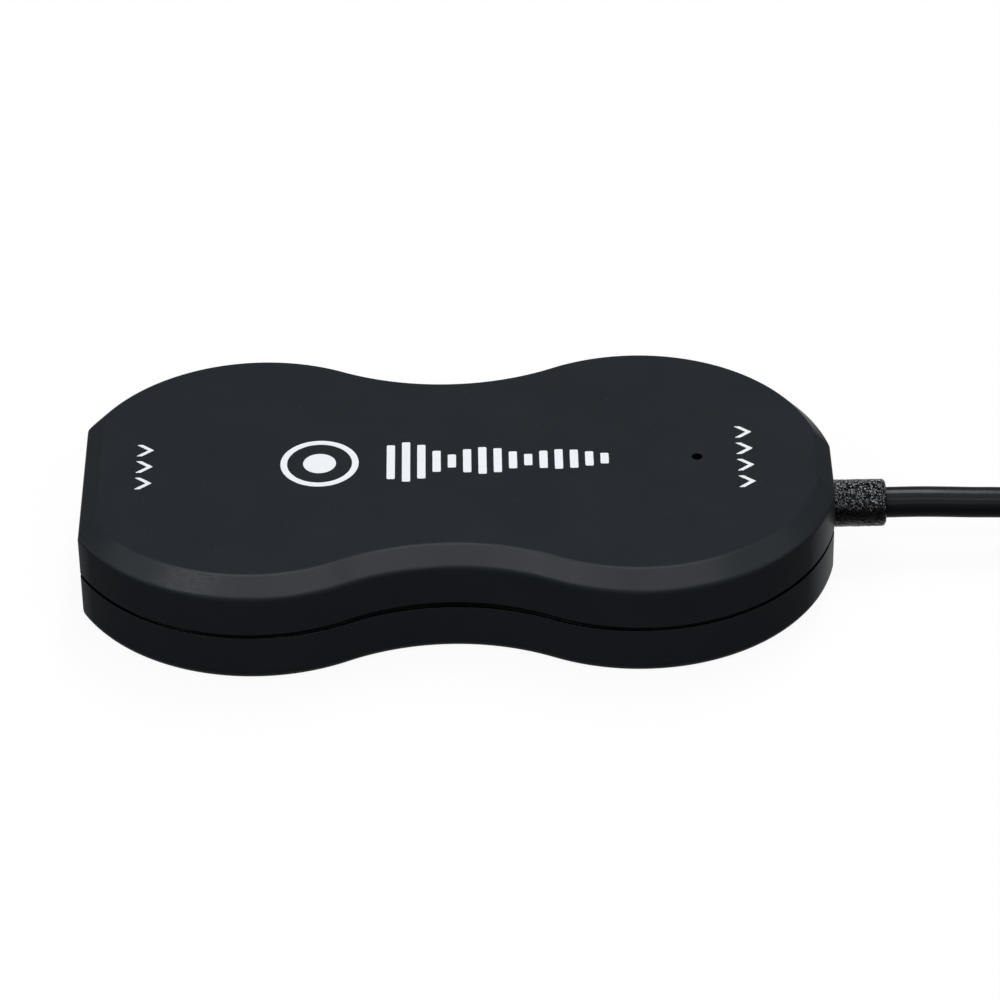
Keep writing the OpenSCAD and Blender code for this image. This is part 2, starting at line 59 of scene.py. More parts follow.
def show(name, data):
    """A new object with its data, linked to the scene."""
    made = bpy.data.objects.new(name, data)
    bpy.context.scene.collection.objects.link(made)
    return made


def stand(thing, axes, place):
    """Turns an object to three unit axes and puts it at a place in millimetres."""
    matrix = np.eye(4)
    matrix[:3, :3] = np.stack(axes, axis=1)
    matrix[:3, 3] = np.asarray(place) * MM
    thing.matrix_world = Matrix(matrix.tolist())


def unit(rows):
    """Each row of numbers divided by its length."""
    return rows / np.linalg.norm(rows, axis=-1, keepdims=True)


def points_of(*coordinates):
    """Arrays stretched to one shape and put together as the coordinates of points."""
    return np.stack(np.broadcast_arrays(*coordinates), -1)


def full_turn(steps):
    """Even angles round a full turn."""
    return np.linspace(0, 2 * np.pi, steps, endpoint=False)


print("nodes in the frame:", len(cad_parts))

# %% [markdown]
# The camera stands where the photographer stood: 0.62 m away, 36 degrees above the table and almost square
# to the long side, with a long lens. It could be turned by a constraint, but its matrix is written out from
# these few angles, because then the small roll of the picture is one more number.

# %% Camera
camera_aim = np.array([5.355, 0, 8.719])
camera_distance = 621.11
camera_elevation = math.radians(36.047)
camera_azimuth = math.radians(-0.172)
camera_roll = math.radians(-0.996)
camera_sensor = 36
camera_lens = 174.1

back = np.array([math.sin(camera_azimuth) * math.cos(camera_elevation),
                 -math.cos(camera_azimuth) * math.cos(camera_elevation),
                 math.sin(camera_elevation)])
level = np.array([math.cos(camera_azimuth), math.sin(camera_azimuth), 0])
upright = np.cross(back, level)
right = level * math.cos(camera_roll) + upright * math.sin(camera_roll)
above = upright * math.cos(camera_roll) - level * math.sin(camera_roll)
camera_place = camera_aim + back * camera_distance

camera = show("camera", bpy.data.cameras.new("camera"))
camera.data.sensor_width = camera_sensor
camera.data.lens = camera_lens
camera.data.clip_start = 0.05
camera.data.clip_end = 50
stand(camera, [right, above, back], camera_place)
bpy.context.scene.camera = camera
print("camera at", np.round(camera_place), "mm")

# %% [markdown]
# The lead is a metre of round PVC cable. It leaves the strain relief level, sinks to the table, swings aside
# and ends in a tied coil with the plug in front. A mesh tube would do, but a curve with a round bevel keeps
# the cable's own line, so its length stays measurable. The free stretches repeat the points of the CAD
# route, and the coil is a formula.

# %% Route of the lead
cable_d = 4
cable_hold = 0.6
coil_gap = 0.5
coil_turns = 7
coil_climb = 0.5
coil_steps = 24
coil_mid_d = 42
coil_pitch = cable_d + coil_gap
coil_r = coil_mid_d / 2 + coil_pitch * coil_turns / 4
coil_x = 113
coil_low = 2.6
lay_y = -17
lead_points = np.array([[54.9 - cable_hold, 0, 7.2], [59.4, 0, 7.2], [66, 0, 6.95], [71.5, 0, 6.7],
                        [77.7, -1, 6.2], [83.4, -4, 5.4], [87.8, -8.5, 4.6], [92.1, -13, 3.7], [97.8, -16, 3],
                        [104, lay_y, coil_low], [108.5, lay_y, coil_low]])
tail_points = np.array([[117.5, lay_y, 7.1], [122, lay_y, 7.1], [125, lay_y, 6.8], [127.8, lay_y, 5.8],
                        [130.5, lay_y, 4.8], [133.5, lay_y, 4.5], [138 + cable_hold, lay_y, 4.5]])


def coil_points():
    """Points along the coil, which spirals in on the table and out again on a second layer.

    After u turns the radius is the outer one less a pitch for each turn to the nearer end, the angle is u
    full turns from the side that faces the lead, and the height rises by one pitch, as half a cosine wave,
    while the spiral reverses in the middle.
    """
    u = np.linspace(0, coil_turns, coil_turns * coil_steps + 1)
    radius = coil_r - coil_pitch * np.minimum(u, coil_turns - u)
    climb = np.clip((u - coil_turns / 2) / coil_climb + 0.5, 0, 1)
    return np.stack([coil_x + radius * np.sin(2 * np.pi * u), lay_y + coil_r - radius * np.cos(2 * np.pi * u),
                     coil_low + coil_pitch * (1 - np.cos(np.pi * climb)) / 2], axis=1)


lead_route = np.concatenate([lead_points, coil_points(), tail_points])
lead_length = np.linalg.norm(np.diff(lead_route, axis=0), axis=1).sum()
print("lead: %d points, %.0f mm" % (len(lead_route), lead_length))

# %% Cable as one smooth curve
def smooth_curve(name, route, diameter):
    """A round cord along a route, as one Bezier spline.

    At each point the curve runs along the sum of the unit vectors to its two neighbours, and each handle is a
    third of the way to the neighbour on its side. The bevel is 1 m deep and each point scales it down to the
    cord's radius, because a curve's box is its points grown by their radii.
    """
    step = np.diff(route, axis=0)
    reach = np.linalg.norm(step, axis=1, keepdims=True)
    ways = step / reach
    along = unit(np.concatenate([ways[:1], ways[:-1] + ways[1:], ways[-1:]]))
    before = np.concatenate([reach[:1], reach])
    after = np.concatenate([reach, reach[-1:]])
    curve = bpy.data.curves.new(name, "CURVE")
    curve.dimensions = "3D"
    curve.resolution_u = 6
    curve.bevel_depth = 1
    curve.bevel_resolution = 6
    curve.use_fill_caps = True
    spline = curve.splines.new("BEZIER")
    spline.bezier_points.add(len(route) - 1)
    spline.bezier_points.foreach_set("co", (route * MM).ravel())
    spline.bezier_points.foreach_set("radius", np.full(len(route), diameter / 2 * MM))
    spline.bezier_points.foreach_set("handle_left", ((route - along * before / 3) * MM).ravel())
    spline.bezier_points.foreach_set("handle_right", ((route + along * after / 3) * MM).ravel())
    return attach(show(name, curve), "root")


cable = smooth_curve("lead_cable", lead_route, cable_d)
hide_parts("usb_cable", "usb_cable_coil", "usb_cable_tail")
print("made", cable.name)

# %% [markdown]
# The other pieces are closed surfaces on grids of points. A few helpers are enough for all of them: they list
# the faces between the rows and columns of a grid, turn points and faces into a mesh that rides on the body,
# and cut one shape out of another. Blender's own operators could add cubes and cylinders, but those would
# only be stand-ins.

# %% Grids and pieces
def grid_faces(rows, columns, wrap_rows):
    """Quads between neighbouring closed rows of points; wrapped rows also join the last to the first."""
    row, column = np.meshgrid(np.arange(rows if wrap_rows else rows - 1), np.arange(columns), indexing="ij")
    row_up, column_up = (row + 1) % rows, (column + 1) % columns
    quads = np.stack([row * columns + column, row * columns + column_up,
                      row_up * columns + column_up, row_up * columns + column], axis=-1)
    return quads.reshape(-1, 4).tolist()


def tube_mesh(rings, wrap=False):
    """Points and faces of a closed skin over rings of points, with flat ends unless it wraps."""
    rows, columns = rings.shape[:2]
    faces = grid_faces(rows, columns, wrap)
    if not wrap:
        faces += [list(range(columns))[::-1], list(range((rows - 1) * columns, rows * columns))]
    return rings.reshape(-1, 3), faces


def joined(parts):
    """Several sets of points and faces as one: each set's faces count on from the points before it."""
    starts = np.cumsum([0] + [len(points) for points, _ in parts])
    faces = [[int(start) + i for i in face] for start, (_, part) in zip(starts, parts) for face in part]
    return np.concatenate([points for points, _ in parts]), faces


def outward(mesh):
    """Turns a closed mesh's faces outwards: its triangles' corner products add up to six times its volume."""
    mesh.calc_loop_triangles()
    corners = np.empty(len(mesh.loop_triangles) * 3, np.int32)
    mesh.loop_triangles.foreach_get("vertices", corners)
    points = np.empty(len(mesh.vertices) * 3, np.float32)
    mesh.vertices.foreach_get("co", points)
    a, b, c = points.reshape(-1, 3).astype(float)[corners].reshape(-1, 3, 3).transpose(1, 0, 2)
    if (np.cross(a, b) * c).sum() < 0:
        mesh.flip_normals()


def soften(mesh, degrees=32):
    """Shades a mesh smooth, apart from the edges that bend by more than an angle."""
    mesh.shade_smooth()
    mesh.set_sharp_from_angle(angle=math.radians(degrees))


def new_piece(name, parts, smooth_degrees=32):
    """One object made of closed skins in millimetres, riding on the body."""
    mesh = bpy.data.meshes.new(name)
    points, faces = joined(parts)
    mesh.from_pydata((points * MM).tolist(), [], faces)
    outward(mesh)
    soften(mesh, smooth_degrees)
    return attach(show(name, mesh), "root")


def carve(piece, operation, parts):
    """Unites a piece with closed skins, or cuts them out of it, and keeps the result as its own mesh."""
    tool = new_piece(piece.name + "_tool", parts)
    step = piece.modifiers.new(operation.lower(), "BOOLEAN")
    step.operation = operation
    step.solver = "EXACT"
    step.object = tool
    made = bpy.data.meshes.new_from_object(piece.evaluated_get(bpy.context.evaluated_depsgraph_get()))
    piece.modifiers.clear()
    piece.data = made
    soften(made)
    bpy.data.objects.remove(tool)


print("shape helpers ready")

# %% [markdown]
# Almost every moulded edge is a little round, and that is what catches the light. A Bevel modifier could
# round the finished mesh, but here the profile itself is rounded before it is carried along, so each edge
# can have its own radius.

# %% Rounded profiles and straight prisms
def rounded(corners, radii, steps=6, rest=0.05):
    """A line of corners in which each inner corner becomes a smooth bend.

    Unit vectors a and b point from a corner to its neighbours. The bend starts where a circle of the corner's
    radius would touch its sides, at a reach of radius / tan(half the angle), and follows the parabola
    corner + reach * (a * (1 - s)^2 + b * s^2). A point a little further out on each side keeps flats flat.
    """
    corners = np.asarray(corners, float)
    here = corners[1:-1]
    a = unit(corners[:-2] - here)
    b = unit(corners[2:] - here)
    half = np.arccos(np.clip((a * b).sum(axis=1), -1, 1)) / 2
    reach = (np.broadcast_to(radii, half.shape) / np.tan(half))[:, None, None]
    s = np.linspace(0, 1, steps + 1)[None, :, None]
    a = a[:, None]
    b = b[:, None]
    here = here[:, None]
    bend = here + reach * (a * (1 - s) ** 2 + b * s ** 2)
    bends = np.concatenate([here + (reach + rest) * a, bend, here + (reach + rest) * b], axis=1)
    return np.concatenate([corners[:1], bends.reshape(-1, 2), corners[-1:]])


def rounded_loop(corners, radii, steps=6):
    """A closed line of corners with each corner rounded."""
    corners = np.asarray(corners, float)
    return rounded(np.concatenate([corners[-1:], corners, corners[:1]]), radii, steps)[1:-1]


def circle(radius, steps=48, centre=(0, 0)):
    """Points round a circle."""
    turn = full_turn(steps)
    return np.stack([centre[0] + radius * np.cos(turn), centre[1] + radius * np.sin(turn)], axis=1)


def prism(outline, low, high, axis):
    """A flat outline carried straight from low to high along X or Z, with a face at each end."""
    place = {"x": 0, "z": 2}[axis]
    rings = np.stack([np.insert(outline, place, end, axis=1) for end in (low, high)])
    return tube_mesh(rings)


square = np.array([[-1.0, -1.0], [1.0, -1.0], [1.0, 1.0], [-1.0, 1.0]])
print("profile helpers ready")

# %% [markdown]
# The case outline is two round lobes, joined by hollow waist arcs and cut off by a flat at each end. It
# could be traced by hand, but as arcs about fixed centres it can be drawn in by any amount and stays smooth.
# The lobes and flats come from the frame, and the three other sizes are read off the object.

# %% Case outline
bottom_high = node_box("bottom_cover")[1]
top_high = node_box("top_cover")[1]
half_length = top_high[0]
lobe_r = top_high[1]
case_h = top_high[2]
input_lobe_in = 22.5
output_lobe_in = 24.85
waist_half = 19.55
corner_r = 0.8
input_lobe_x = input_lobe_in - half_length
output_lobe_x = half_length - output_lobe_in
waist_x = (input_lobe_x + output_lobe_x) / 2
lobe_half_gap = (output_lobe_x - input_lobe_x) / 2
waist_r = (waist_half ** 2 + lobe_half_gap ** 2 - lobe_r ** 2) / (2 * (lobe_r - waist_half))
waist_y = waist_half + waist_r


def arc(centre_x, centre_y, radius, start, end, steps):
    """Points on an arc from one angle to just before another, one row for each radius."""
    turn = start + (end - start) * np.linspace(0, 1, steps, endpoint=False)
    return points_of(centre_x + radius * np.cos(turn), centre_y + radius * np.sin(turn))


def case_outline(inset):
    """Rings of points round the case, one for each amount that it is drawn in.

    A lobe is an arc of its radius less the inset, and the waist an arc of its radius plus the inset, so they
    touch on the line between their centres. Where an end flat cuts a lobe off, a small arc rounds the corner:
    its centre lies one corner radius inside both. One half goes from the output end to the input end, and the
    other half is its mirror image.
    """
    inset = np.asarray(inset, float).reshape(-1, 1)

    def corner(lobe_x):
        x = half_length - inset - corner_r
        y = np.sqrt((lobe_r - inset - corner_r) ** 2 - (x - lobe_x) ** 2)
        return x, y, np.arctan2(y, x - lobe_x)

    def flat(x, y_start, y_end, steps=8):
        y = y_start + (y_end - y_start) * np.linspace(0, 1, steps, endpoint=False)
        return points_of(x, y)

    out_x, out_y, out_turn = corner(output_lobe_x)
    in_x, in_y, in_turn = corner(-input_lobe_x)
    out_join = np.arctan2(waist_y, waist_x - output_lobe_x)
    in_join = np.arctan2(waist_y, waist_x - input_lobe_x)
    half = np.concatenate([
        flat(half_length - inset, 0, out_y),
        arc(out_x, out_y, corner_r, 0, out_turn, 5),
        arc(output_lobe_x, 0, lobe_r - inset, out_turn, out_join, 80),
        arc(waist_x, waist_y, waist_r + inset, out_join - np.pi, in_join - np.pi, 48),
        arc(input_lobe_x, 0, lobe_r - inset, in_join, np.pi - in_turn, 80),
        arc(-in_x, in_y, corner_r, np.pi - in_turn, np.pi, 8),
        flat(inset - half_length, in_y, 0),
        points_of(inset - half_length, 0 * inset),
    ], axis=1)
    return np.concatenate([half, half[:, -2:0:-1] * [1, -1]], axis=1)


def cover_skin(profile, part_sign):
    """A cover's skin: each profile point gives a ring of the outline at its inset and height.

    The covers meet less closely at the waist, so points next to the parting line are moved away from it
    there, by a bell curve over the length of the case.
    """
    inset, height = profile.T
    rings = case_outline(inset)
    near = np.abs(height - parting_h) < 2 * parting_half
    bell = waist_gap * np.exp(-((rings[..., 0] - waist_x) / waist_spread) ** 2)
    lifted = height[:, None] + part_sign * near[:, None] * bell
    return tube_mesh(np.concatenate([rings, lifted[..., None]], axis=-1))


print("outline: %d points, waist radius %.1f mm" % (case_outline([0]).shape[1], waist_r))

# %% [markdown]
# Both covers are shells about 1.8 mm thick. The upper one has a broad chamfer, a rebate that takes the lower
# one's lip, and posts for the screws. The lower one's edge slopes inwards, so the joint looks black. They
# could be made from boxes with modifiers, but one profile, carried round the outline, gives the wall, its
# round edges and the inside in a single closed skin.

# %% Covers
parting_h = 6.85
parting_half = 0.22
waist_gap = 0.16
waist_spread = 19
ledge_drop = 0.7
wall = 1.8
floor_t = 1.6
roof_t = 1.8
lip_inset = 1.0
fit_clear = 0.2
shoulder_h = 12.55
chamfer_in = 2.2
bottom_r = 1.4
ceiling_z = case_h - roof_t
lip_top = bottom_high[2]
rebate_in = lip_inset - fit_clear
margin = 1.5

top_profile = rounded(
    [[chamfer_in + margin, case_h], [chamfer_in, case_h], [0, shoulder_h], [0, parting_h + parting_half],
     [rebate_in, parting_h + parting_half], [rebate_in, lip_top + fit_clear], [wall, lip_top + fit_clear],
     [wall, ceiling_z], [wall + margin, ceiling_z]],
    [0.6, 1.1, 0.07, 0.1, 0.1, 0.1, 0.3])
bottom_profile = rounded(
    [[bottom_r + margin, 0], [0, 0], [0, parting_h - parting_half],
     [lip_inset, parting_h - parting_half - ledge_drop], [lip_inset, lip_top], [wall, lip_top],
     [wall, floor_t], [wall + margin, floor_t]],
    [bottom_r, 0.07, 0.1, 0.1, 0.1, 0.3])
top_cover = new_piece("case_top", [cover_skin(top_profile, 1)])
bottom_cover = new_piece("case_bottom", [cover_skin(bottom_profile, -1)])
print("covers:", len(top_cover.data.vertices), "and", len(bottom_cover.data.vertices), "points")

# %% [markdown]
# The screw posts, the screw holes, the pinhole over the light and the two end openings are added to the
# shells. Cutting them by hand would break the neat grid, so exact Booleans do it, and their result becomes
# the mesh.

# %% Posts and openings in the covers
cut = 1
boss_r = 3
boss_meet_h = 6
post_r = 2.3
pilot_r = 1.05
clear_r = 1.2
head_r = 2.1
head_seat = 2.8
case_screw_bite = 4.7
board_screw_bite = 2.6
led_hole_r = 0.7
opening_clear = 0.35
relief_clear = 0.2

screw_head_r = 1.9


def screw_axes(node):
    """Places of four screws at the corners of a node's box, one head radius inside it."""
    low, high = node_box(node)
    return [(x, y) for x in (low[0] + screw_head_r, high[0] - screw_head_r)
            for y in (low[1] + screw_head_r, high[1] - screw_head_r)]


screw_places = screw_axes("case_screws")
post_places = screw_axes("board_screws")
board_bottom = node_box("circuit_board")[0][2]
led_low, led_high = node_box("status_led")
led_x = (led_low[0] + led_high[0]) / 2
socket_low, socket_high = node_box("hdmi_shell")
relief_low, relief_high = node_box("strain_relief")
relief_r = 3.05
lead_z = (relief_low[2] + relief_high[2]) / 2
socket_base_half = 5.5
socket_bevel_h = 2.2
opening_corner = 0.7


def columns(places, radius, low, high, steps=40):
    """An upright cylinder at each place."""
    return [prism(circle(radius, steps, place), low, high, "z") for place in places]


def socket_outline(grow, corner):
    """The socket's outline: wide above, with sloping lower corners, all of them rounded."""
    half_w = socket_high[1] + grow
    low = socket_low[2] - grow
    high = socket_high[2] + grow
    slope_h = socket_low[2] + socket_bevel_h
    base = socket_base_half + grow
    return rounded_loop([[-half_w, high], [-half_w, slope_h], [-base, low], [base, low], [half_w, slope_h],
                         [half_w, high]], corner)


socket_opening = prism(socket_outline(opening_clear, opening_corner), -half_length - cut,
                       wall + cut - half_length, "x")
relief_hole = prism(circle(relief_r + relief_clear, 64, (0, lead_z)), half_length - wall - cut,
                    half_length + cut, "x")
carve(top_cover, "UNION", columns(screw_places, boss_r, boss_meet_h, case_h - roof_t / 2))
carve(top_cover, "DIFFERENCE",
      columns(screw_places, pilot_r, boss_meet_h - cut, boss_meet_h + case_screw_bite)
      + columns([(led_x, 0)], led_hole_r, ceiling_z - cut, case_h + cut) + [socket_opening])
carve(top_cover, "DIFFERENCE", [relief_hole])
carve(bottom_cover, "UNION", columns(screw_places, boss_r, floor_t / 2, boss_meet_h)
      + columns(post_places, post_r, floor_t / 2, board_bottom))
carve(bottom_cover, "DIFFERENCE", columns(screw_places, clear_r, -cut, boss_meet_h + cut)
      + columns(post_places, pilot_r, board_bottom - board_screw_bite, board_bottom + cut) + [socket_opening])
carve(bottom_cover, "DIFFERENCE", columns(screw_places, head_r, -cut, head_seat) + [relief_hole])
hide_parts("top_cover")
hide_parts("bottom_cover")
print("carved covers:", len(top_cover.data.polygons), "and", len(bottom_cover.data.polygons), "faces")

# %% [markdown]
# The strain relief is a short sleeve of soft black PVC with a coarse, sparkling grain, as if cast in sand.
# Bump alone would leave its edge perfectly straight, so the grain is also in the shape: a turned profile,
# pushed in and out by seeded noise that was blurred to the grain's real size.

# %% Strain relief
grain_size = 0.24
grain_depth = 0.016
grain_seed = 7
grain_fade = 0.3


def blurred_noise(shape, spacing, size, seed):
    """Even noise of one grain size: white noise, its waves damped as a bell curve, with a spread of 1."""
    noise = np.random.default_rng(seed).standard_normal(shape)
    waves = [np.fft.fftfreq(n, d) for n, d in zip(shape, spacing)]
    damp = np.exp(-2 * (np.pi * size / 2.5) ** 2 * (waves[0][:, None] ** 2 + waves[1][None] ** 2))
    blurred = np.fft.ifft2(np.fft.fft2(noise) * damp).real
    return blurred / blurred.std()


def turned_x(profile, steps, centre_z, push=0):
    """A profile of (x, radius) points turned round a line along X; push is added to every radius."""
    turn = full_turn(steps)
    radius = profile[:, 1:] + push
    return points_of(profile[:, :1], radius * np.cos(turn), centre_z + radius * np.sin(turn))


flange_r = relief_high[1]
flange_x = half_length - wall - fit_clear
relief_end = relief_high[0]
bore_r = cable_d / 2
end_round = 0.6
end_start = relief_end - 0.7
lip_depth = 0.5
row_gap = 0.12
sleeve_steps = 170
sleeve_rows = 72
relief_profile = np.concatenate([
    [[relief_low[0], bore_r], [relief_low[0], flange_r], [flange_x, flange_r], [flange_x, relief_r]],
    np.stack([np.linspace(flange_x + 0.1, end_start - 0.05, sleeve_rows), np.full(sleeve_rows, relief_r)], 1),
    rounded([[end_start, relief_r], [relief_end, relief_r], [relief_end, bore_r + 0.1]], end_round, 8),
    [[relief_end - lip_depth, bore_r]]])
grain = blurred_noise((len(relief_profile), sleeve_steps), (row_gap, 2 * np.pi * relief_r / sleeve_steps),
                      grain_size, grain_seed)
outside = np.clip((relief_profile[:, 0] - half_length) / grain_fade, 0, 1)
grain_share = outside * (relief_profile[:, 1] > relief_r - lip_depth)
relief = new_piece("relief_sleeve", [tube_mesh(turned_x(
    relief_profile, sleeve_steps, lead_z, grain_depth * (grain - 1) * grain_share[:, None]))], 60)
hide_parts("strain_relief")
print("strain relief: %d points, grain %.2f mm" % (len(relief.data.vertices), grain_size))

# %% [markdown]
# The video socket and the lead's plug have shells of thin rolled steel. Each could be a hollow box, but real
# ones are bent from strip, so their corners are round inside and out. The outline is carried along X twice,
# once outside and once inside, and spring tongues press in from the socket's walls.

# %% Rolled steel shells
def leftward(outline):
    """At each point of a closed outline, the unit vector to the left of the line between its neighbours."""
    along = unit(np.roll(outline, -1, axis=0) - np.roll(outline, 1, axis=0))
    return np.stack([-along[:, 1], along[:, 0]], axis=1)


def drawn_in(outline, amount):
    """A closed outline moved inwards: to the left if its area counts as positive, otherwise to the right."""
    x, y = outline.T
    area = (x * np.roll(y, -1) - y * np.roll(x, -1)).sum()
    return outline + leftward(outline) * amount * np.sign(area)


def rolled_shell(outline, thickness, x_back, x_front, edge=0.08):
    """A sheet bent round an outline: out along its outer face, round the front edge and back inside."""
    x_edge = x_front - np.sign(x_front - x_back) * edge
    way = [(x_back, 0), (x_edge, 0), (x_front, edge), (x_front, thickness - edge), (x_edge, thickness),
           (x_back, thickness)]
    rings = [np.insert(drawn_in(outline, depth), 0, x, axis=1) for x, depth in way]
    return tube_mesh(np.stack(rings), wrap=True)


def spring_tongue(x_front, x_back, y_middle, z_wall, inward, width=1.5, bow=0.4, thickness=0.2):
    """A strip that bows in from a wall: its middle line leaves the wall as a squared sine and comes back."""
    s = np.linspace(0, 1, 17)
    x = x_front + (x_back - x_front) * s
    z = z_wall + inward * bow * np.sin(np.pi * s) ** 2
    section = np.array([[-1, 0], [1, 0], [1, 1], [-1, 1]]) * [width / 2, thickness * inward]
    return tube_mesh(points_of(x[:, None], y_middle + section[:, 0], z[:, None] + section[:, 1]))


shell_corner = 0.6
socket_t = 0.35
socket_sheet = rolled_shell(socket_outline(0, shell_corner), socket_t, socket_high[0], socket_low[0])
tongue_front = socket_low[0] + 1
tongue_back = socket_low[0] + 6.5
tongue_y = 2.8
tongues = [spring_tongue(tongue_front, tongue_back, y, z, side) for y in (-tongue_y, tongue_y)
           for z, side in ((socket_low[2] + socket_t, 1), (socket_high[2] - socket_t, -1))]
socket_shell = new_piece("socket_shell", [socket_sheet] + tongues)
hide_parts("hdmi_shell")

plug_low, plug_high = node_box("usb_plug_shell")
plug_t = 0.3
plug_y = (plug_low[1] + plug_high[1]) / 2
plug_z = (plug_low[2] + plug_high[2]) / 2
plug_outline = rounded_loop(square * (plug_high - plug_low)[1:] / 2 + [plug_y, plug_z], shell_corner)
plug_shell = new_piece("plug_shell", [rolled_shell(plug_outline, plug_t, plug_low[0], plug_high[0])])
window = 2.4
window_corner = 0.2
window_y = 2.6
window_x = plug_low[0] + 5.8
windows = [rounded_loop(square * window / 2 + [window_x, plug_y + side * window_y], window_corner)
           for side in (-1, 1)]
carve(plug_shell, "DIFFERENCE", [prism(hole, plug_low[2] - cut, plug_high[2] + cut, "z") for hole in windows])
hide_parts("usb_plug_shell")
print("shells:", len(socket_shell.data.polygons), "and", len(plug_shell.data.polygons), "faces")

# %% [markdown]
# The plug's grip is moulded over the cable end: a ringed neck that bends, then a soft block with finger
# ribs. It could be a rounded box and a cone, but one loft from a round section to a squarish one has no
# seam.

# %% Plug grip
grip_low, grip_high = node_box("usb_plug_grip")
neck_x = grip_low[0]
neck_r = 2.6
neck_root_r = 3.3
neck_l = 8
swell_l = 2
groove_places = (1.6, 3.2, 4.8, 6.4)
groove_w = 0.32
groove_depth = 0.45
rib_places = (6, 8, 10, 12, 14)
rib_w = 0.42
rib_h = 0.42
rib_bed = 0.5
bed_start = (4, 5.4)
bed_end = (14.6, 16)
block_square = 5.6
front_r = 0.8
grip_back = neck_x + neck_l
grip_half_w = (grip_high[1] - grip_low[1]) / 2
grip_half_h = (grip_high[2] - grip_low[2]) / 2


def smooth_step(value, start, end):
    """0 before start, 1 after end, and 3 t^2 - 2 t^3 between them."""
    t = np.clip((value - start) / (end - start), 0, 1)
    return t * t * (3 - 2 * t)


def grip_rings(steps=96):
    """Rings of superellipses along X: width and height times cosine and sine to the power 2 / squareness.

    The neck's radius grows evenly and dips at each groove. Behind the grip the section swells by the smooth
    step, and at the front its edge is drawn in by a quarter circle. Ribs rise from a bed on the flat faces.
    """
    front = grip_high[0]
    swollen = grip_back + swell_l
    x = np.concatenate([np.linspace(neck_x, grip_back - 0.4, 66), np.linspace(grip_back - 0.3, swollen, 24),
                        np.linspace(swollen + 0.1, front - front_r - 0.1, 90),
                        front - front_r * (1 - np.sin(np.linspace(0, np.pi / 2, 8)))])
    swell = smooth_step(x, grip_back - 0.3, swollen)
    neck = neck_r + (neck_root_r - neck_r) * (x - neck_x) / (grip_back - neck_x)
    grooves = sum(np.exp(-((x - neck_x - place) / groove_w) ** 4) for place in groove_places)
    neck = neck - groove_depth * grooves * (1 - swell)
    over = np.clip((x - (front - front_r)) / front_r, 0, 1)
    edge = front_r * (1 - np.sqrt(1 - over ** 2))
    half_w = neck + (grip_half_w - neck) * swell - edge
    half_h = neck + (grip_half_h - neck) * swell - edge
    squareness = 2 + (block_square - 2) * swell
    turn = full_turn(steps)
    power = (2 / squareness)[:, None]
    y = half_w[:, None] * np.sign(np.cos(turn)) * np.abs(np.cos(turn)) ** power
    z = half_h[:, None] * np.sign(np.sin(turn)) * np.abs(np.sin(turn)) ** power
    ribs = sum(np.exp(-((x - grip_back - place) / rib_w) ** 4) for place in rib_places)
    sunk = smooth_step(x - grip_back, *bed_start) * (1 - smooth_step(x - grip_back, *bed_end))
    across = 1 - smooth_step(np.abs(y), grip_half_w * 0.5, grip_half_w * 0.68)
    z = z - np.sign(z) * across * (rib_bed * sunk - rib_h * ribs)[:, None] * (np.abs(z) > grip_half_h / 2)
    return points_of(x[:, None], plug_y + y, plug_z + z)


grip = new_piece("plug_grip", [tube_mesh(grip_rings())], 50)
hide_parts("usb_plug_grip")
print("plug grip:", len(grip.data.vertices), "points")

# %% [markdown]
# A twist tie holds the coil: a paper-thin ribbon with a wire along its middle, wrapped once round the turns
# and twisted on top. A plain band would be simpler, but the raised wire and the twist are what make it a
# tie.

# %% Twist tie
tie_low, tie_high = node_box("cable_tie")
tie_t = 0.4
tie_half_w = (tie_high[0] - tie_low[0]) / 2
tie_x = (tie_high[0] + tie_low[0]) / 2
tie_corner = 2


def ribbon_section(steps=15, edge_share=0.35, wire_w=0.24):
    """Across the ribbon: thin at its edges, with the wire as a bell curve in the middle; inside flat."""
    s = np.linspace(-1, 1, steps)
    outside = tie_t * (edge_share + (1 - edge_share) * np.exp(-(s / wire_w) ** 2))
    return np.concatenate([np.stack([s * tie_half_w, outside], 1), [[tie_half_w, 0], [-tie_half_w, 0]]])


def tie_band():
    """The ribbon's section carried round a loop with round corners, square to the loop."""
    middle = (tie_low + tie_high)[1:] / 2
    loop = rounded_loop(middle + square * ((tie_high - tie_low)[1:] / 2 - tie_t), tie_corner, 12)
    section = ribbon_section()
    flat = loop[:, None] - leftward(loop)[:, None] * section[None, :, 1:]
    across = np.broadcast_to(tie_x + section[None, :, :1], flat.shape[:2] + (1,))
    return tube_mesh(np.concatenate([across, flat], axis=-1), wrap=True)


def tie_twist(turns=2.5, length=13, half_w=1.5, half_t=0.4, steps=90):
    """The twisted ends: a flat oval section that turns evenly as it goes along, narrow at its start."""
    s = np.linspace(0, 1, steps)[:, None]
    around = full_turn(28)
    wide = half_w * (0.45 + 0.55 * smooth_step(s, 0, 0.25))
    a = wide * np.cos(around)
    b = half_t * np.sin(around)
    turn = 2 * np.pi * turns * s
    start = np.array([tie_x, (tie_low[1] + tie_high[1]) / 2 + 2, tie_high[2] + half_w * 0.72])
    x = start[0] + a * np.cos(turn) - b * np.sin(turn)
    y = start[1] - length * s
    z = start[2] + a * np.sin(turn) + b * np.cos(turn) - 0.25 * np.sin(np.pi * s)
    return tube_mesh(points_of(x, y, z))


tie = new_piece("twist_tie", [tie_band(), tie_twist()], 40)
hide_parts("cable_tie")
print("tie:", len(tie.data.vertices), "points")

# %% [markdown]
# White marks are pad printed on the cover: arrow heads that show which way the signal goes, and a round lamp
# mark with a row of level bars. They could be a texture, but thin raised shapes stay sharp from any
# distance, and real ink stands a few hundredths of a millimetre proud as well.

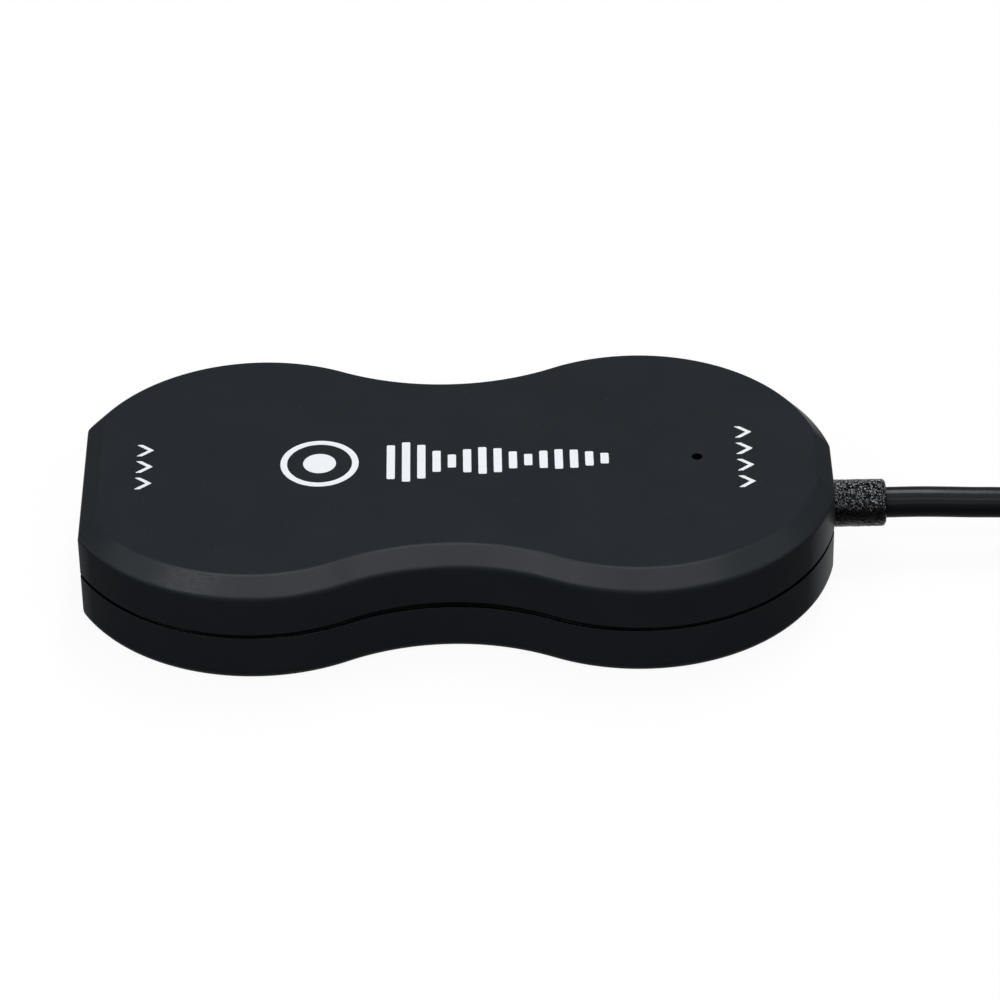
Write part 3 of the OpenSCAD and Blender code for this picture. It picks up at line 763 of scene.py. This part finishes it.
# %% Printed marks
ink_t = 0.03
ink_sink = 0.02
input_arrows = (-40, (-3.6, 0, 3.6))
output_arrows = (36.7, (-5.6, -2, 1.6, 5.2))
bars_x = -8.5
bar_count = 15
bar_least = 1.1
bar_swing = 3.6
bar_fade = 9
bar_wave = 0.62
bar_phase = 0.8
lamp_mark_x = -17.6
lamp_mark_r = 2.1
ring_r = (5, 4.15)


def printed(outlines):
    """Each flat outline as a thin prism that starts just inside the cover."""
    return [prism(outline, case_h - ink_sink, case_h + ink_t, "z") for outline in outlines]


def arrow_heads(x, places, length=1.5, half_w=1.25, stroke=0.75):
    """Open arrow heads that point along +X: a bent stroke of even width at each place across the case."""
    tip = np.array([[0, -half_w], [stroke, -half_w], [length + stroke, 0], [stroke, half_w], [0, half_w],
                    [length, 0]])
    return [rounded_loop(tip - [(length + stroke) / 2, 0] + [x, y], 0.08, 3) for y in places]


def level_bars(x_start, count, pitch=1.95, width=1.05):
    """Upright bars whose height swells and sinks as a wave that dies out along the row."""
    k = np.arange(count)
    half_h = bar_least + bar_swing * np.exp(-k / bar_fade) * np.abs(np.sin(bar_wave * k + bar_phase))
    return [rounded_loop(square * [width / 2, h] + [x_start + pitch * i, 0], 0.2, 3)
            for i, h in zip(k, half_h)]


def ring_mark(x, outer, inner, steps=72):
    """A flat ring: a square section carried round a circle."""
    section = [(inner, case_h - ink_sink), (outer, case_h - ink_sink), (outer, case_h + ink_t),
               (inner, case_h + ink_t)]
    rings = np.stack([np.insert(circle(r, steps, (x, 0)), 2, z, axis=1) for r, z in section])
    return tube_mesh(rings, wrap=True)


marks = printed(arrow_heads(*input_arrows) + arrow_heads(*output_arrows) + level_bars(bars_x, bar_count)
                + [circle(lamp_mark_r, 40, (lamp_mark_x, 0))])
print_marks = new_piece("printed_marks", marks + [ring_mark(lamp_mark_x, *ring_r)])
print("printed marks:", len(marks) + 1)

# %% [markdown]
# Each finish is a node tree on object coordinates, so a pattern has its real size in millimetres on any
# piece. One helper turns a hex colour into the linear values that Blender uses, and another adds a node with
# its settings and links; the trees below use nothing else.

# %% Helpers for finishes
def linear(hex_colour):
    """sRGB hex to linear RGBA: up to 0.04045 a value v is v / 12.92, above it ((v + 0.055) / 1.055)^2.4."""
    value = np.array([int(hex_colour[i:i + 2], 16) for i in (1, 3, 5)]) / 255
    value = np.where(value <= 0.04045, value / 12.92, ((value + 0.055) / 1.055) ** 2.4)
    return (*value.tolist(), 1.0)


def add(tree, kind, settings=None, links=None):
    """Adds one shader node of a kind, and gives it its settings and links.

    Settings are its properties or inputs by name, or only the name of its operation. A link comes from a
    socket, or from the first output of a node.
    """
    made = tree.nodes.new("ShaderNode" + kind)
    if isinstance(settings, str):
        settings = {"operation": settings}
    for name, value in (settings or {}).items():
        if isinstance(name, str) and name in made.bl_rna.properties:
            setattr(made, name, value)
        else:
            made.inputs[name].default_value = value
    for name, source in (links or {}).items():
        socket = source.outputs[0] if isinstance(source, bpy.types.Node) else source
        tree.links.new(socket, made.inputs[name])
    return made


def per_mm(size):
    """The texture scale at which a pattern repeats after a size in millimetres."""
    return 1 / (size * MM)


def new_finish(name):
    """An empty material with an output, and its object coordinates."""
    material = bpy.data.materials.new(name)
    material.use_nodes = True
    tree = material.node_tree
    tree.nodes.clear()
    where = add(tree, "TexCoord").outputs["Object"]
    return material, tree, where


def close_finish(tree, shader):
    """Links a shader to the material's output."""
    add(tree, "OutputMaterial", links={"Surface": shader})


def speckled(name, dark, light, grain, rough, depth, metallic=0.0, specular=0.5, stretch=(1, 1, 1)):
    """A finish of two close colours in cloudy grains, with the grain also in its roughness and its relief."""
    material, tree, where = new_finish(name)
    placed = add(tree, "Mapping", {"Scale": stretch}, {"Vector": where})
    cloud = add(tree, "TexNoise", {"Scale": per_mm(grain), "Detail": 4.0}, {"Vector": placed})
    colour = add(tree, "MixRGB", {"Color1": linear(dark), "Color2": linear(light)}, {"Fac": cloud})
    gloss = add(tree, "MapRange", {"To Min": rough[0], "To Max": rough[1]}, {"Value": cloud})
    bump = add(tree, "Bump", {"Distance": depth * MM, "Strength": 1.0}, {"Height": cloud})
    close_finish(tree, add(tree, "BsdfPrincipled", {"Metallic": metallic, "Specular IOR Level": specular},
                           {"Base Color": colour, "Roughness": gloss, "Normal": bump}))
    return material


def dress(material, *pieces):
    """Gives pieces, or CAD nodes by name, their material."""
    for piece in pieces:
        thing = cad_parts[piece] if isinstance(piece, str) else piece
        thing.data.materials.clear()
        thing.data.materials.append(material)


print("finish helpers ready")

# %% [markdown]
# The covers are ABS, moulded in a spark-eroded tool: almost black with a cool tint, dull and very faintly
# mottled, with a few specks of dust. A plain dark shader would look like paper, so a broad noise mixes two
# close colours, a fine one will break the light, and a scattered cell pattern lays the dust on what faces
# up.

# %% Ground colour of the covers
erosion_grain = 0.22
mottle_size = 9
dust_spacing = 12

abs_case, tree, where = new_finish("ABS moulded with spark eroded grain")
place = add(tree, "SeparateXYZ", None, {0: where})
facing = add(tree, "SeparateXYZ", None, {0: add(tree, "TexCoord").outputs["Normal"]})
mottle = add(tree, "TexNoise", {"Scale": per_mm(mottle_size), "Detail": 3.0}, {"Vector": where})
fine = add(tree, "TexNoise", {"Scale": per_mm(erosion_grain), "Detail": 2.0}, {"Vector": where})
ground = add(tree, "MixRGB", {"Color1": linear("#25292c"), "Color2": linear("#2b2e31")}, {"Fac": mottle})
dust = add(tree, "TexVoronoi", {"Scale": per_mm(dust_spacing), "voronoi_dimensions": "2D"}, {"Vector": where})
speck = add(tree, "MapRange", {"From Min": 0.011, "From Max": 0.005}, {"Value": dust.outputs["Distance"]})
lying = add(tree, "Math", "MULTIPLY", {0: speck, 1: facing.outputs["Z"]})
dusted = add(tree, "MixRGB", {"Color2": linear("#3a3e42")}, {"Fac": lying, "Color1": ground})
print("ground colour: mottle %.0f mm, grain %.2f mm" % (mottle_size, erosion_grain))

# %% [markdown]
# Hands have rubbed the chamfer, the lower edge and the ends of the wall smoother than the rest, most of all
# away from the waist. One gloss all over would mirror the white table in every wall, so the polish is a
# clear coat, and its weight follows the way that the surface faces: each range below is 1 inside its slopes
# and 0 outside.

# %% Polish on the edges
dull_place = 12
dull_reach = 27

sideways = add(tree, "Math", "ABSOLUTE", {0: facing.outputs["Y"]})
endwise = add(tree, "Math", "ABSOLUTE", {0: facing.outputs["X"]})
slope = add(tree, "MapRange", {"From Min": 0.3, "From Max": 0.62}, {"Value": facing.outputs["Z"]})
flat = add(tree, "MapRange", {"From Min": 0.98, "From Max": 0.8}, {"Value": facing.outputs["Z"]})
held = add(tree, "MapRange", {"From Min": 0.15, "From Max": 0.5}, {"Value": sideways})
chamfer = add(tree, "Math", "MULTIPLY", {0: slope, 1: flat})
chamfer = add(tree, "Math", "MULTIPLY", {0: chamfer, 1: held})
under = add(tree, "MapRange", {"From Min": -0.12, "From Max": -0.45, "To Max": 0.25},
            {"Value": facing.outputs["Z"]})
lifted = add(tree, "MapRange", {"From Min": -0.99, "From Max": -0.9}, {"Value": facing.outputs["Z"]})
edge = add(tree, "Math", "MULTIPLY", {0: under, 1: lifted})
gripped = add(tree, "MapRange", {"From Min": 0.825, "From Max": 0.95, "To Max": 0.4}, {"Value": endwise})
rounding = add(tree, "MapRange", {"From Min": 1.0, "From Max": 0.985}, {"Value": endwise})
rim = add(tree, "Math", "MULTIPLY", {0: gripped, 1: rounding})
polish = add(tree, "Math", "ADD", {0: chamfer, 1: edge})
polish = add(tree, "Math", "ADD", {0: polish, 1: rim})
beside = add(tree, "Math", {"operation": "SUBTRACT", 1: dull_place * MM}, {0: place.outputs["X"]})
beside = add(tree, "Math", "ABSOLUTE", {0: beside})
handled = add(tree, "MapRange", {"From Max": dull_reach * MM, "To Min": 0.57, "To Max": 0.68},
              {"Value": beside})
polish = add(tree, "Math", "MULTIPLY", {0: polish, 1: handled})
print("polish: weakest at x = %d mm" % dull_place)

# %% [markdown]
# A soft patch of fine scratches lies on the worn chamfer: distorted waves, broken up by a noise and faded
# out round one place. A stroke of paint would be quicker, but waves keep their real spacing.

# %% Scratches on the chamfer
scuff_place = (-33, -22, 14)
scuff_reach = 6
scuff_core = 2.5
scuff_spacing = 0.2
scuff_break = 0.8
wave_unit = math.pi / 10

off = add(tree, "VectorMath", {"operation": "DISTANCE", 1: [v * MM for v in scuff_place]}, {0: where})
patch = add(tree, "MapRange", {"From Min": scuff_reach * MM, "From Max": scuff_core * MM},
            {"Value": off.outputs["Value"]})
drawn = add(tree, "Mapping", {"Rotation": (0, 0, 0.25), "Scale": (0.35, 1, 1)}, {"Vector": where})
lines = add(tree, "TexWave", {"Scale": per_mm(scuff_spacing) * wave_unit, "Distortion": 7.0, "Detail": 2.0,
                              "Detail Scale": 0.7, "bands_direction": "Y"}, {"Vector": drawn})
gaps = add(tree, "TexNoise", {"Scale": per_mm(scuff_break), "Detail": 1.0}, {"Vector": where})
rubbed = add(tree, "Math", "MULTIPLY", {0: lines.outputs["Fac"], 1: gaps})
rubbed = add(tree, "MapRange", {"From Min": 0.3, "From Max": 0.62}, {"Value": rubbed})
scuff = add(tree, "Math", "MULTIPLY", {0: patch, 1: rubbed})
scuff = add(tree, "Math", "MULTIPLY", {0: scuff, 1: chamfer})
worn = add(tree, "MixRGB", {"Color2": linear("#3b3f45")}, {"Fac": scuff, "Color1": dusted})
print("scratches: %.1f mm apart" % scuff_spacing)

# %% [markdown]
# The joint and the pinhole are painted black as painted shade. It could be a second material on chosen faces,
# but the cuts have changed those, so the colour goes by place: in the joint by height, on its sloping shelf
# also by the way that it faces, and in the pinhole by the distance from its middle.

# %% Painted shade, and the shader of the covers
shelf_h = parting_h - parting_half - ledge_drop / 2
hole_middle = [led_x * MM, 0, (case_h - roof_t / 2) * MM]
hole_reach = math.hypot(led_hole_r, roof_t / 2) * MM

gap = add(tree, "Math", {"operation": "COMPARE", 1: parting_h * MM, 2: parting_half * MM},
          {0: place.outputs["Z"]})
shelf = add(tree, "Math", {"operation": "COMPARE", 1: shelf_h * MM, 2: ledge_drop * MM},
            {0: place.outputs["Z"]})
shelf_up = add(tree, "Math", {"operation": "GREATER_THAN", 1: 0.4}, {0: facing.outputs["Z"]})
shelf = add(tree, "Math", "MULTIPLY", {0: shelf, 1: shelf_up})
joint = add(tree, "Math", "MAXIMUM", {0: gap, 1: shelf})
hole = add(tree, "VectorMath", {"operation": "DISTANCE", 1: hole_middle}, {0: where})
hole = add(tree, "Math", {"operation": "LESS_THAN", 1: hole_reach}, {0: hole.outputs["Value"]})
shaded = add(tree, "Math", "MAXIMUM", {0: joint, 1: hole})
# Painted shade: the joint, its shelf and the pinhole are mixed to near black where shade falls.
painted_shade = add(tree, "MixRGB", {"Color2": linear("#020202")}, {"Fac": shaded, "Color1": worn})
gloss = add(tree, "MapRange", {"To Min": 0.43, "To Max": 0.53}, {"Value": fine})
bump = add(tree, "Bump", {"Distance": 0.003 * MM, "Strength": 1.0}, {"Height": fine})
close_finish(tree, add(tree, "BsdfPrincipled", {"Specular IOR Level": 0.005, "Coat Roughness": 0.34},
                       {"Base Color": painted_shade, "Roughness": gloss, "Normal": bump, "Coat Weight": polish}))
dress(abs_case, top_cover, bottom_cover)
print("finish:", abs_case.name)

# %% [markdown]
# The sleeve's soft PVC was cast against a blasted tool and glints from thousands of tiny facets. Cloudy
# noise would give soft hills without glints, so each cell of a cell pattern becomes a small plane: its
# height is the dot product of the way from the cell's middle with the cell's own random direction. Some of
# the tips that face up are painted pale, as painted glints of the lamps above, and the upper side is wiped to
# a shine. The near side is dull, and the edge underneath mirrors the pale table.

# %% Grained PVC of the strain relief
facet_size = 0.14
facet_tilt = 1.3

pvc_grain, tree, where = new_finish("PVC moulded with coarse grain")
cells = add(tree, "TexVoronoi", {"Scale": per_mm(facet_size)}, {"Vector": where})
way = add(tree, "VectorMath", "SUBTRACT", {0: where, 1: cells.outputs["Position"]})
lean = add(tree, "VectorMath", {"operation": "SUBTRACT", 1: (0.5, 0.5, 0.5)}, {0: cells.outputs["Color"]})
plane = add(tree, "VectorMath", "DOT_PRODUCT", {0: way, 1: lean})
bump = add(tree, "Bump", {"Distance": facet_tilt, "Strength": 1.0}, {"Height": plane.outputs["Value"]})
chance = add(tree, "SeparateColor", None, {0: cells.outputs["Color"]})
pale = add(tree, "MapRange", {"From Min": 0.75, "From Max": 1.0}, {"Value": chance.outputs["Green"]})
facing = add(tree, "SeparateXYZ", None, {0: add(tree, "TexCoord").outputs["Normal"]})
upper = add(tree, "MapRange", {"From Min": 0.25, "From Max": 0.55}, {"Value": facing.outputs["Z"]})
# Painted highlight: random cells on the upper side are mixed pale, as glints of the lamps above.
painted_glints = add(tree, "Math", "MULTIPLY", {0: pale, 1: upper})
colour = add(tree, "MixRGB", {"Color1": linear("#070708"), "Color2": linear("#c8cacd")}, {"Fac": painted_glints})
gloss = add(tree, "MapRange", {"To Min": 0.14, "To Max": 0.26}, {"Value": cells.outputs["Distance"]})
shine = add(tree, "Math", {"operation": "MULTIPLY", 1: 0.36}, {0: upper})
brink = add(tree, "MapRange", {"From Min": -0.2, "From Max": -0.6, "To Max": 0.45},
            {"Value": facing.outputs["Z"]})
shine = add(tree, "Math", "ADD", {0: shine, 1: brink})
close_finish(tree, add(tree, "BsdfPrincipled", {"Specular IOR Level": 0.04, "Coat Roughness": 0.2},
                       {"Base Color": colour, "Roughness": gloss, "Normal": bump,
                        "Coat Weight": shine, "Coat Normal": bump}))
dress(pvc_grain, relief)
print("finish:", pvc_grain.name)

# %% [markdown]
# The cable is the same plastic, but drawn through a smooth die, so it is glossy. Its upper side is painted a
# lighter grey, as painted light from above, and that is where the lamps are mirrored; its underside is plain
# black. One even gloss would mirror the white table below as strongly as the lamps above, so the painted
# light and the coat follow the way that the surface faces.

# %% Extruded PVC of the cable
streak_size = 2.5
upper_coat = 0.15

pvc_cable, tree, where = new_finish("PVC extruded glossy")
streaks = add(tree, "TexNoise", {"Scale": per_mm(streak_size), "Detail": 4.0}, {"Vector": where})
facing = add(tree, "SeparateXYZ", None, {0: add(tree, "TexCoord").outputs["Normal"]})
upper = add(tree, "MapRange", {"From Min": 0.2, "From Max": 0.5}, {"Value": facing.outputs["Z"]})
black = add(tree, "MixRGB", {"Color1": linear("#0c0d0e"), "Color2": linear("#111214")}, {"Fac": streaks})
# Painted light: the upper side is mixed to a lighter grey, as if lit from above.
colour = add(tree, "MixRGB", {"Color2": linear("#1f2022")}, {"Fac": upper, "Color1": black})
gloss = add(tree, "MapRange", {"To Min": 0.36, "To Max": 0.44}, {"Value": streaks})
coat = add(tree, "Math", {"operation": "MULTIPLY", 1: upper_coat}, {0: upper})
close_finish(tree, add(tree, "BsdfPrincipled", {"Specular IOR Level": 0.03, "Coat Roughness": 0.2},
                       {"Base Color": colour, "Roughness": gloss, "Coat Weight": coat}))
dress(pvc_cable, cable, "cable_stub")
print("finish:", pvc_cable.name)

# %% [markdown]
# The marks are pad printed in white ink, slightly uneven, as the soft pad leaves it. The tie's ribbon is
# polythene with a dull skin, and the plug's grip is PVC from a tool with a satin finish.

# %% Ink, ribbon and grip
for piece, *finish in (
        (print_marks, "Pad printed white ink", "#eceef0", "#f4f5f6", 0.5, (0.5, 0.65), 0.004, 0, 0.3),
        (tie, "Polythene ribbon over wire", "#141416", "#1d1d20", 0.4, (0.4, 0.6), 0.01, 0, 0.3),
        (grip, "PVC moulded satin", "#131415", "#1b1c1d", 0.25, (0.45, 0.6), 0.006, 0, 0.25)):
    dress(speckled(*finish), piece)
print("finishes: ink, ribbon and grip")

# %% [markdown]
# Steel strip for the shells is rolled, then nickel plated: bright, with fine lines along the strip. Screws
# are zinc plated inside and blackened outside, and the contacts have a flash of gold.

# %% Metals
for pieces, *finish in (
        ([socket_shell, plug_shell], "Steel strip rolled and nickel plated", "#bfc0bc", "#cfcfcb", 0.09,
         (0.22, 0.34), 0.0004, 1, 0.5, (0.02, 1, 1)),
        (["board_screws"], "Steel zinc plated", "#a9abac", "#c6c8c8", 0.4, (0.3, 0.45), 0.004, 1),
        (["case_screws"], "Steel blackened", "#1b1c1d", "#2a2b2c", 0.4, (0.35, 0.5), 0.005, 1),
        (["hdmi_contacts", "usb_plug_contacts"], "Copper alloy gold plated", "#c79a3f", "#deb65a", 0.3,
         (0.2, 0.32), 0.002, 1),
        (["chip_leads", "led_legs", "crystal"], "Tin plated copper", "#b4b6b7", "#cfd1d2", 0.25,
         (0.25, 0.42), 0.004, 1),
        (["solder_joints"], "Solder reflowed", "#9fa2a4", "#c3c6c8", 0.5, (0.22, 0.4), 0.03, 1),
        (["bulk_capacitor"], "Aluminium drawn can", "#bdbfbf", "#d8d9d9", 0.3, (0.25, 0.4), 0.003, 1, 0.5,
         (1, 1, 0.1))):
    dress(speckled(*finish), *pieces)
print("metals dressed")

# %% [markdown]
# Inside the case are the small parts on the board: moulded chips, pressed ferrite, fired ceramic and wires
# in four colours. They are hidden in a closed box, but they are real pieces, so each has its own finish.

# %% Resins, ceramics and wires
for nodes, *finish in (
        (["capture_chip", "memory_chip", "surge_arrays", "voltage_regulator"], "Epoxy moulding compound",
         "#17181a", "#232426", 0.12, (0.5, 0.7), 0.008, 0, 0.4),
        (["hdmi_insulator"], "LCP moulded black", "#0f1011", "#181919", 0.3, (0.4, 0.55), 0.005, 0, 0.4),
        (["usb_plug_insulator"], "PBT moulded white", "#dcdcd6", "#ecece7", 0.4, (0.35, 0.5), 0.005),
        (["power_inductor"], "Ferrite pressed and sintered", "#2b2b2d", "#3a3a3c", 0.15, (0.5, 0.75), 0.02, 0,
         0.4),
        (["capacitors"], "Barium titanate ceramic sintered", "#a58558", "#bd9c6d", 0.2, (0.35, 0.5), 0.006),
        (["resistors"], "Resistor film under glass", "#0e0f12", "#1a1b20", 0.15, (0.2, 0.35), 0.003),
        (["status_led"], "Epoxy cast and smoked", "#060607", "#0b0c0d", 0.5, (0.2, 0.35), 0.003, 0, 0.05)):
    dress(speckled(*finish), *nodes)
for colour_name, dark, light in (("red", "#8e1512", "#a51d18"), ("white", "#d2d2cd", "#e4e4df"),
                                 ("green", "#12643a", "#1b7a49"), ("black", "#101011", "#1a1a1b")):
    dress(speckled("PVC wire insulation " + colour_name, dark, light, 0.6, (0.25, 0.4), 0.003),
          "usb_wire_" + colour_name)
print("small parts dressed")

# %% [markdown]
# The board is woven glass in epoxy under green solder mask. Copper tracks show through the mask as a paler,
# slightly raised green; they are drawn as the edges of a square cell pattern of the real track spacing.

# %% Circuit board
track_spacing = 1.6
glass_weave = 0.5

board_finish, tree, where = new_finish("Glass epoxy with solder mask")
cells = add(tree, "TexVoronoi", {"Scale": per_mm(track_spacing), "distance": "CHEBYCHEV",
                                 "feature": "F1", "Randomness": 0.75}, {"Vector": where})
track = add(tree, "MapRange", {"From Min": 0.3, "From Max": 0.36}, {"Value": cells.outputs["Distance"]})
weave = add(tree, "TexNoise", {"Scale": per_mm(glass_weave), "Detail": 2.0}, {"Vector": where})
mask_colour = add(tree, "MixRGB", {"Color1": linear("#0c3a20"), "Color2": linear("#17592f")}, {"Fac": track})
gloss = add(tree, "MapRange", {"To Min": 0.22, "To Max": 0.38}, {"Value": weave})
bump = add(tree, "Bump", {"Distance": 0.03 * MM, "Strength": 1.0}, {"Height": track})
close_finish(tree, add(tree, "BsdfPrincipled", {"Specular IOR Level": 0.5},
                       {"Base Color": mask_colour, "Roughness": gloss, "Normal": bump}))
dress(board_finish, "circuit_board")
print("finish:", board_finish.name)

# %% [markdown]
# The box lies on a white table that fills the picture. Making it white with more light would also bleach the
# box, so the floor shows its own white to the camera and in reflections, and is a plain grey surface for the
# light that bounces. A small share of lit paper is kept in the white, so the contact shadow stays, and the
# floor lies a hair below the box, because two faces in one plane would flicker.

# %% Floor
floor_half = 20000
floor_drop = 0.02
shadow_share = 0.07

floor_mesh = bpy.data.meshes.new("floor")
floor_corners = np.insert(square * floor_half, 2, -floor_drop, axis=1)
floor_mesh.from_pydata((floor_corners * MM).tolist(), [], [[0, 1, 2, 3]])
show("floor", floor_mesh)
table_white, tree, _ = new_finish("White paper sweep")
path = add(tree, "LightPath")
seen = add(tree, "Math", "MAXIMUM", {0: path.outputs["Is Camera Ray"], 1: path.outputs["Is Glossy Ray"]})
seen = add(tree, "Math", "MAXIMUM", {0: seen, 1: path.outputs["Is Transmission Ray"]})
glow = add(tree, "Emission", {"Strength": 1.0})
paper = add(tree, "BsdfDiffuse", {"Color": linear("#6c675f")})
bright_paper = add(tree, "BsdfDiffuse", {"Color": linear("#ffffff")})
white = add(tree, "MixShader", {"Fac": shadow_share}, {1: glow, 2: bright_paper})
close_finish(tree, add(tree, "MixShader", None, {"Fac": seen, 1: paper, 2: white}))
floor_mesh.materials.append(table_white)
print("floor:", 2 * floor_half * MM, "m wide")

# %% [markdown]
# Light as in a small product studio: a long strip above the camera, which the near chamfer mirrors, a card
# beside the camera, a broad sheet overhead and one at each end, a bright upright lamp behind, which draws
# the line along the cable, and a dim grey room. One big soft sky would be simpler, but it would leave black
# plastic without form.

# %% Light
def softbox(name, place, size, radiance, colour):
    """A rectangular lamp at a place, turned to the case; its power is radiance times pi times its area."""
    lamp_data = bpy.data.lights.new(name, "AREA")
    lamp_data.shape = "RECTANGLE"
    lamp_data.size, lamp_data.size_y = (side * MM for side in size)
    lamp_data.energy = radiance * math.pi * lamp_data.size * lamp_data.size_y
    lamp_data.color = linear(colour)[:3]
    lamp = show(name, lamp_data)
    towards = unit(place - np.array([0, 0, case_h / 2]))
    side = unit(np.cross([0, 1, 0], towards))
    stand(lamp, [side, np.cross(towards, side), towards], place)
    lamp.visible_camera = False


softbox("front_strip", (-60, -503, 753), (1500, 105), 6.7, "#f4f6ff")
softbox("front_card", (150, -780, 450), (180, 380), 1.6, "#f4f6ff")
softbox("overhead_sheet", (0, 0, 1100), (1400, 1050), 1.05, "#f8fbff")
softbox("back_lamp", (171, 555, 957), (165, 560), 17.5, "#ffffff")
softbox("left_sheet", (-860, -180, 480), (420, 420), 0.8, "#f3faff")
softbox("right_sheet", (860, -180, 480), (420, 420), 0.5, "#f3faff")
room_light = 0.12
world = bpy.data.worlds.new("studio")
bpy.context.scene.world = world
world.use_nodes = True
room = world.node_tree.nodes["Background"]
room.inputs["Color"].default_value = linear("#f0f8ff")
room.inputs["Strength"].default_value = room_light
bpy.context.scene.view_settings.view_transform = "Standard"
print("lamps: 6")
